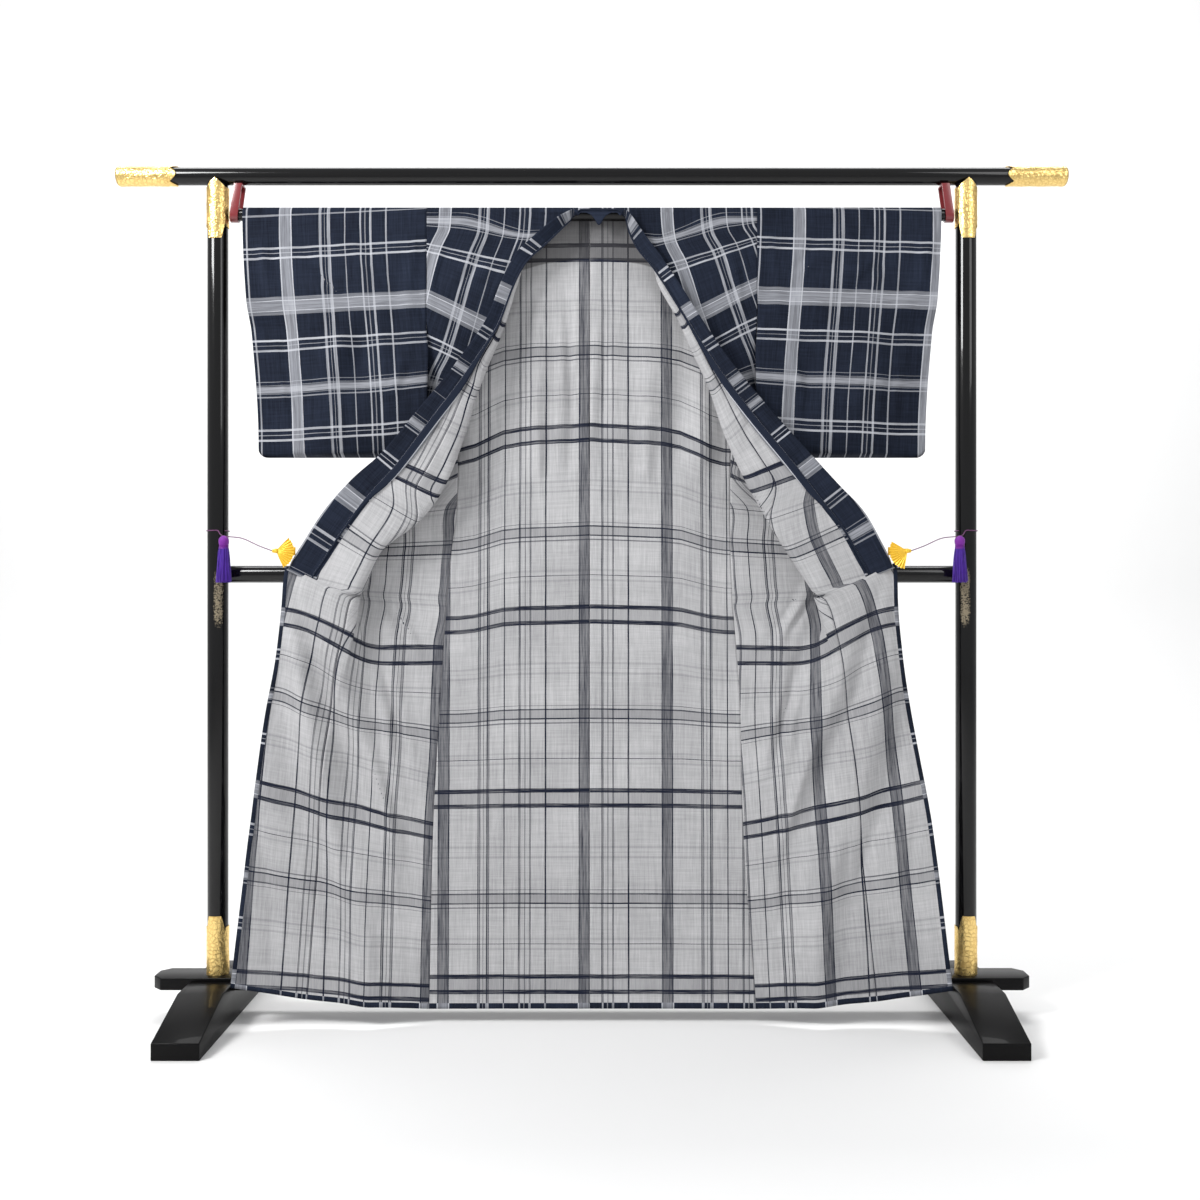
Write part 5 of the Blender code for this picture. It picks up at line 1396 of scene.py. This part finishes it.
def makeStand():
    makeRod("topBar", stand["barRadius"], stand["barHalf"], (0, 0, stand["barZ"]), "top_bar")
    makeRod("hangingRod", stand["rodRadius"], stand["rodHalf"], (0, 0, stand["rodZ"]), "hanging_rod")
    makeRod("middleRail", stand["railRadius"], stand["postX"] - stand["postRadius"] + stand["railSink"],
            (0, 0, stand["railZ"]), "middle_rail")
    makeBoard("lowerPlank", "lower_plank", boardLacquer, "black_lacquer", stand["bevel"])
    low, top = stand["plankTop"] + stand["postLift"], stand["barZ"] - stand["barRadius"] + stand["postSink"]
    for side, word in ((-1, "left"), (1, "right")):
        x = side * stand["postX"]
        makeRod("post." + word, stand["postRadius"], (top - low) / 2, (x, 0, (top + low) / 2),
                "post_" + word, True)
        makeBoard("foot." + word, "foot_" + word, boardLacquer, "black_lacquer", stand["bevel"])
        makeBoard("rodStrap." + word, "rod_hook_" + word, redLacquer, "red_strap", stand["strapBevel"])
        makeCap("barCap." + word, "bar_cap_" + word, side)
        makeSleeveFitting("topFitting." + word, "post_top_fitting_" + word, x,
                          lambda a: cusp(a, *fitting["topLow"]), lambda a: peak(a, *fitting["topHigh"]),
                          fitting["topLow"][1], fitting["topHigh"][1])
        makeSleeveFitting("footFitting." + word, "post_foot_fitting_" + word, x, lambda a: low,
                          lambda a: cusp(a, *fitting["footHigh"]), low, fitting["footHigh"][1])


makeStand()
print("stand")


# clips, cords and tassels
clip = {
    "x": 0.6040,
    "y": -0.0840,
    "z": 0.9140,
    "radius": 0.0345,
    "halfAngle": 55,
    "tilt": {-1: -10, 1: -25},
    "ribs": 11,
    "rows": 10,
    "crest": 0.0011,
    "thick": 0.0010,
    "cordX": 0.6115,          # where the cord leaves the clip
    "cordY": -0.0790,
    "pivot": 0.0045,          # the fan starts this far from its middle
    "scallop": 0.030,
    "belly": 0.0035,
    "lift": 0.0004,
    "bossProfile": [(0.0, 0.0022), (0.0030, 0.0018), (0.0044, 0.0006), (0.0046, -0.0016), (0.0, -0.0020)],
    "bossRise": 0.0018,       # the boss and the cord's eye stand out from the fan
    "eyeRise": 0.0012,
    "eyeBack": 0.0025,
    "eyeRadius": 0.0030,
    "eyeWire": 0.0006,
    "jawBevel": 0.0005,
    "jawTaper": (0.90, 0.55),     # the jaw's height at the clip, and how much of it goes by the end
}
cord = {
    "radius": 0.0010,
    "ringClear": 0.0006,
    "ringZ": 0.9565,
    "ply": 3,
    "twist": 1500,            # radians in a metre
    "step": 0.0012,
    "around": 12,
    "between": [(0.640, -0.0680, 0.9240), (0.680, -0.0480, 0.9400)],
    "post": (0.7225, -0.0335),    # where it comes to the post, over the tassel
    "turns": (-104, 217, 20),     # degrees round the post
    "samples": 16,
    "seat": 0.0011,
}
tassel = {
    "x": 0.7175,
    "y": -0.0365,
    "top": 0.944,
    "length": 0.090,
    "crown": [(0.0, 0.0016), (0.0030, 0.0010), (0.0068, -0.0012), (0.0096, -0.005), (0.0100, -0.009),
              (0.0098, -0.013), (0.0088, -0.0160)],
    "neckRadius": 0.0088,
    "skirtRadius": 0.0150,
    "strands": 96,
    "strandRadius": 0.00105,
    "skirtStart": 0.0200,
    "goldenAngle": 2.39996,
    "bindings": 5,
}


def makeFan(word, side):
    # a pleated fan: a grid bent round its pivot, its far edge in scallops
    deselect()
    pleats, pivot = 2 * clip["ribs"], clip["pivot"]
    bpy.ops.mesh.primitive_grid_add(x_subdivisions=pleats * 4, y_subdivisions=clip["rows"], size=1.0,
                                    location=(0, 0, 0))
    thing = bpy.context.object
    thing.name = "fanClip." + word
    half = math.radians(clip["halfAngle"])
    for vertex in thing.data.vertices:
        across, out = vertex.co.x + 0.5, vertex.co.y + 0.5
        wave = math.cos(across * pleats * math.pi)
        angle = half * (2 * across - 1) + math.radians(clip["tilt"][side])
        radius = pivot + (clip["radius"] * (1 + clip["scallop"] * wave * out) - pivot) * out
        rise = clip["crest"] * wave * out ** 0.7
        rise += clip["belly"] * math.cos(angle * 0.9) * math.sin(out * math.pi) * 0.6
        vertex.co = (side * (clip["x"] - radius * math.cos(angle)), clip["y"] - clip["lift"] - rise,
                     clip["z"] + radius * math.sin(angle))
    edit(thing, (bpy.ops.mesh.normals_make_consistent, {"inside": False}))
    thing.data.materials.append(fanGilt)
    applyModifier(thing, "SOLIDIFY", thickness=clip["thick"], offset=0.0)
    boss = spun("boss", clip["bossProfile"], fanGilt, 24)
    deselect()
    bpy.ops.mesh.primitive_torus_add(major_radius=clip["eyeRadius"], minor_radius=clip["eyeWire"],
                                     major_segments=24, minor_segments=8, location=(0, 0, 0))
    eye = bpy.context.object
    eye.data.materials.append(fanGilt)
    for part, x, y in ((boss, clip["x"], clip["y"] - clip["bossRise"]),
                       (eye, clip["cordX"] - clip["eyeBack"], clip["cordY"] - clip["eyeRise"])):
        placeMesh(part, Matrix.Translation((side * x, y, clip["z"])) @ Matrix.Rotation(math.pi / 2, 4, "X"))
    settle(smoothed(joined(thing, boss, eye), 45), "gold_fan", "fan_clip_" + word)
    jaw = makeBoard("clipJaw." + word, "clip_jaw_" + word, fanGilt, "gold_fan", clip["jawBevel"])
    ends = [abs(vertex.co.x) for vertex in jaw.data.vertices]
    for vertex in jaw.data.vertices:
        out = (abs(vertex.co.x) - min(ends)) / (max(ends) - min(ends))
        taper = clip["jawTaper"][0] - clip["jawTaper"][1] * out
        vertex.co.z = clip["z"] + (vertex.co.z - clip["z"]) * taper


def cordRoute(side):
    # the same points as in the part's own source
    ring = stand["postRadius"] + cord["radius"] + cord["ringClear"]
    route = [(clip["cordX"], clip["cordY"], clip["z"]), *cord["between"],
             (*cord["post"], tassel["top"] + cord["radius"] + cord["seat"])]
    for turn in range(*cord["turns"]):
        angle = math.radians(turn)
        route.append((stand["postX"] + ring * math.cos(angle), ring * math.sin(angle), cord["ringZ"]))
    smooth = curveThrough([(side * x, y, z) for x, y, z in route], cord["samples"])
    return along(smooth, np.linspace(0, 1, int(runLengths(smooth)[-1] / cord["step"])))


def makeCord(word, side):
    # a three-ply twisted tube along the route
    path = cordRoute(side)
    ahead = np.gradient(path, axis=0)
    ahead /= np.linalg.norm(ahead, axis=1, keepdims=True)
    normal = np.cross(ahead[0], [0.0, 0.0, 1.0])
    normal /= np.linalg.norm(normal)
    run = runLengths(path)
    count, around, ply = len(path), cord["around"], cord["ply"]
    angles = 2 * math.pi * np.arange(around) / around
    rings, faces = [], []
    for k in range(count):
        normal = normal - ahead[k] * np.dot(normal, ahead[k])
        normal /= np.linalg.norm(normal)
        binormal = np.cross(ahead[k], normal)
        swell = cord["radius"] * (0.95 + 0.05 * np.cos(ply * (angles - run[k] * cord["twist"] / ply)))
        rings.append(path[k] + swell[:, None] * (np.cos(angles)[:, None] * normal
                                                 + np.sin(angles)[:, None] * binormal))
    for k in range(count - 1):
        for i in range(around):
            j = (i + 1) % around
            faces.append((k * around + i, k * around + j, (k + 1) * around + j, (k + 1) * around + i))
    first, last = count * around, count * around + 1
    for i in range(around):
        j = (i + 1) % around
        faces += [(first, j, i), (last, (count - 1) * around + i, (count - 1) * around + j)]
    mesh = bpy.data.meshes.new("cord." + word)
    mesh.from_pydata(np.vstack(rings + [path[:1], path[-1:]]).tolist(), [], faces)
    mesh.materials.append(cordSilk)
    mesh.shade_smooth()
    thing = link("cord." + word, mesh)
    settle(thing, "purple_cord", "cord_" + word)


def makeTassel(word, side):
    # a bound head, then a skirt of hanging strands
    neck, profile = tassel["neckRadius"], list(tassel["crown"])
    for k in range(tassel["bindings"]):
        profile += [(neck + 0.0007, -0.0166 - 0.0012 * k), (neck, -0.0172 - 0.0012 * k)]
    profile += [(neck + 0.0004, -0.0240), (0.0, -0.0245)]
    head = spun("tassel." + word, profile, headSilk, 40)
    centre = Vector((side * tassel["x"], tassel["y"], tassel["top"]))
    placeMesh(head, Matrix.Translation(centre))
    skirt = bpy.data.curves.new("skirt", "CURVE")
    skirt.dimensions = "3D"
    skirt.bevel_depth = tassel["strandRadius"]
    skirt.bevel_resolution = 1
    skirt.use_fill_caps = True
    inner, start = neck * 0.92, tassel["skirtStart"]
    for k in range(tassel["strands"]):
        angle = k * tassel["goldenAngle"]
        share = math.sqrt((k + 0.5) / tassel["strands"])
        drop = tassel["length"] - 0.0045 * ((k * 7) % 5) / 4
        spline = skirt.splines.new("POLY")
        spline.points.add(6)
        for step, spot in enumerate(spline.points):
            t = step / 6
            spread = inner + (tassel["skirtRadius"] - inner) * t ** 0.75
            reach = share * spread + 0.0005 * math.sin(k * 1.7 + t * 5)
            turned = angle + 0.05 * t
            spot.co = (centre.x + reach * math.cos(turned), centre.y + reach * math.sin(turned),
                       centre.z - start - (drop - start) * t, 1.0)
    threads = link("skirt", skirt)
    pick(threads)
    bpy.ops.object.convert(target="MESH")
    threads = bpy.context.object
    threads.data.materials.clear()
    threads.data.materials.append(tasselSilk)
    return settle(smoothed(joined(head, threads), 60), "violet_silk", "tassel_" + word)


for side, word in ((-1, "left"), (1, "right")):
    makeFan(word, side)
    makeTassel(word, side)
    makeCord(word, side)
print("clips, cords and tassels")
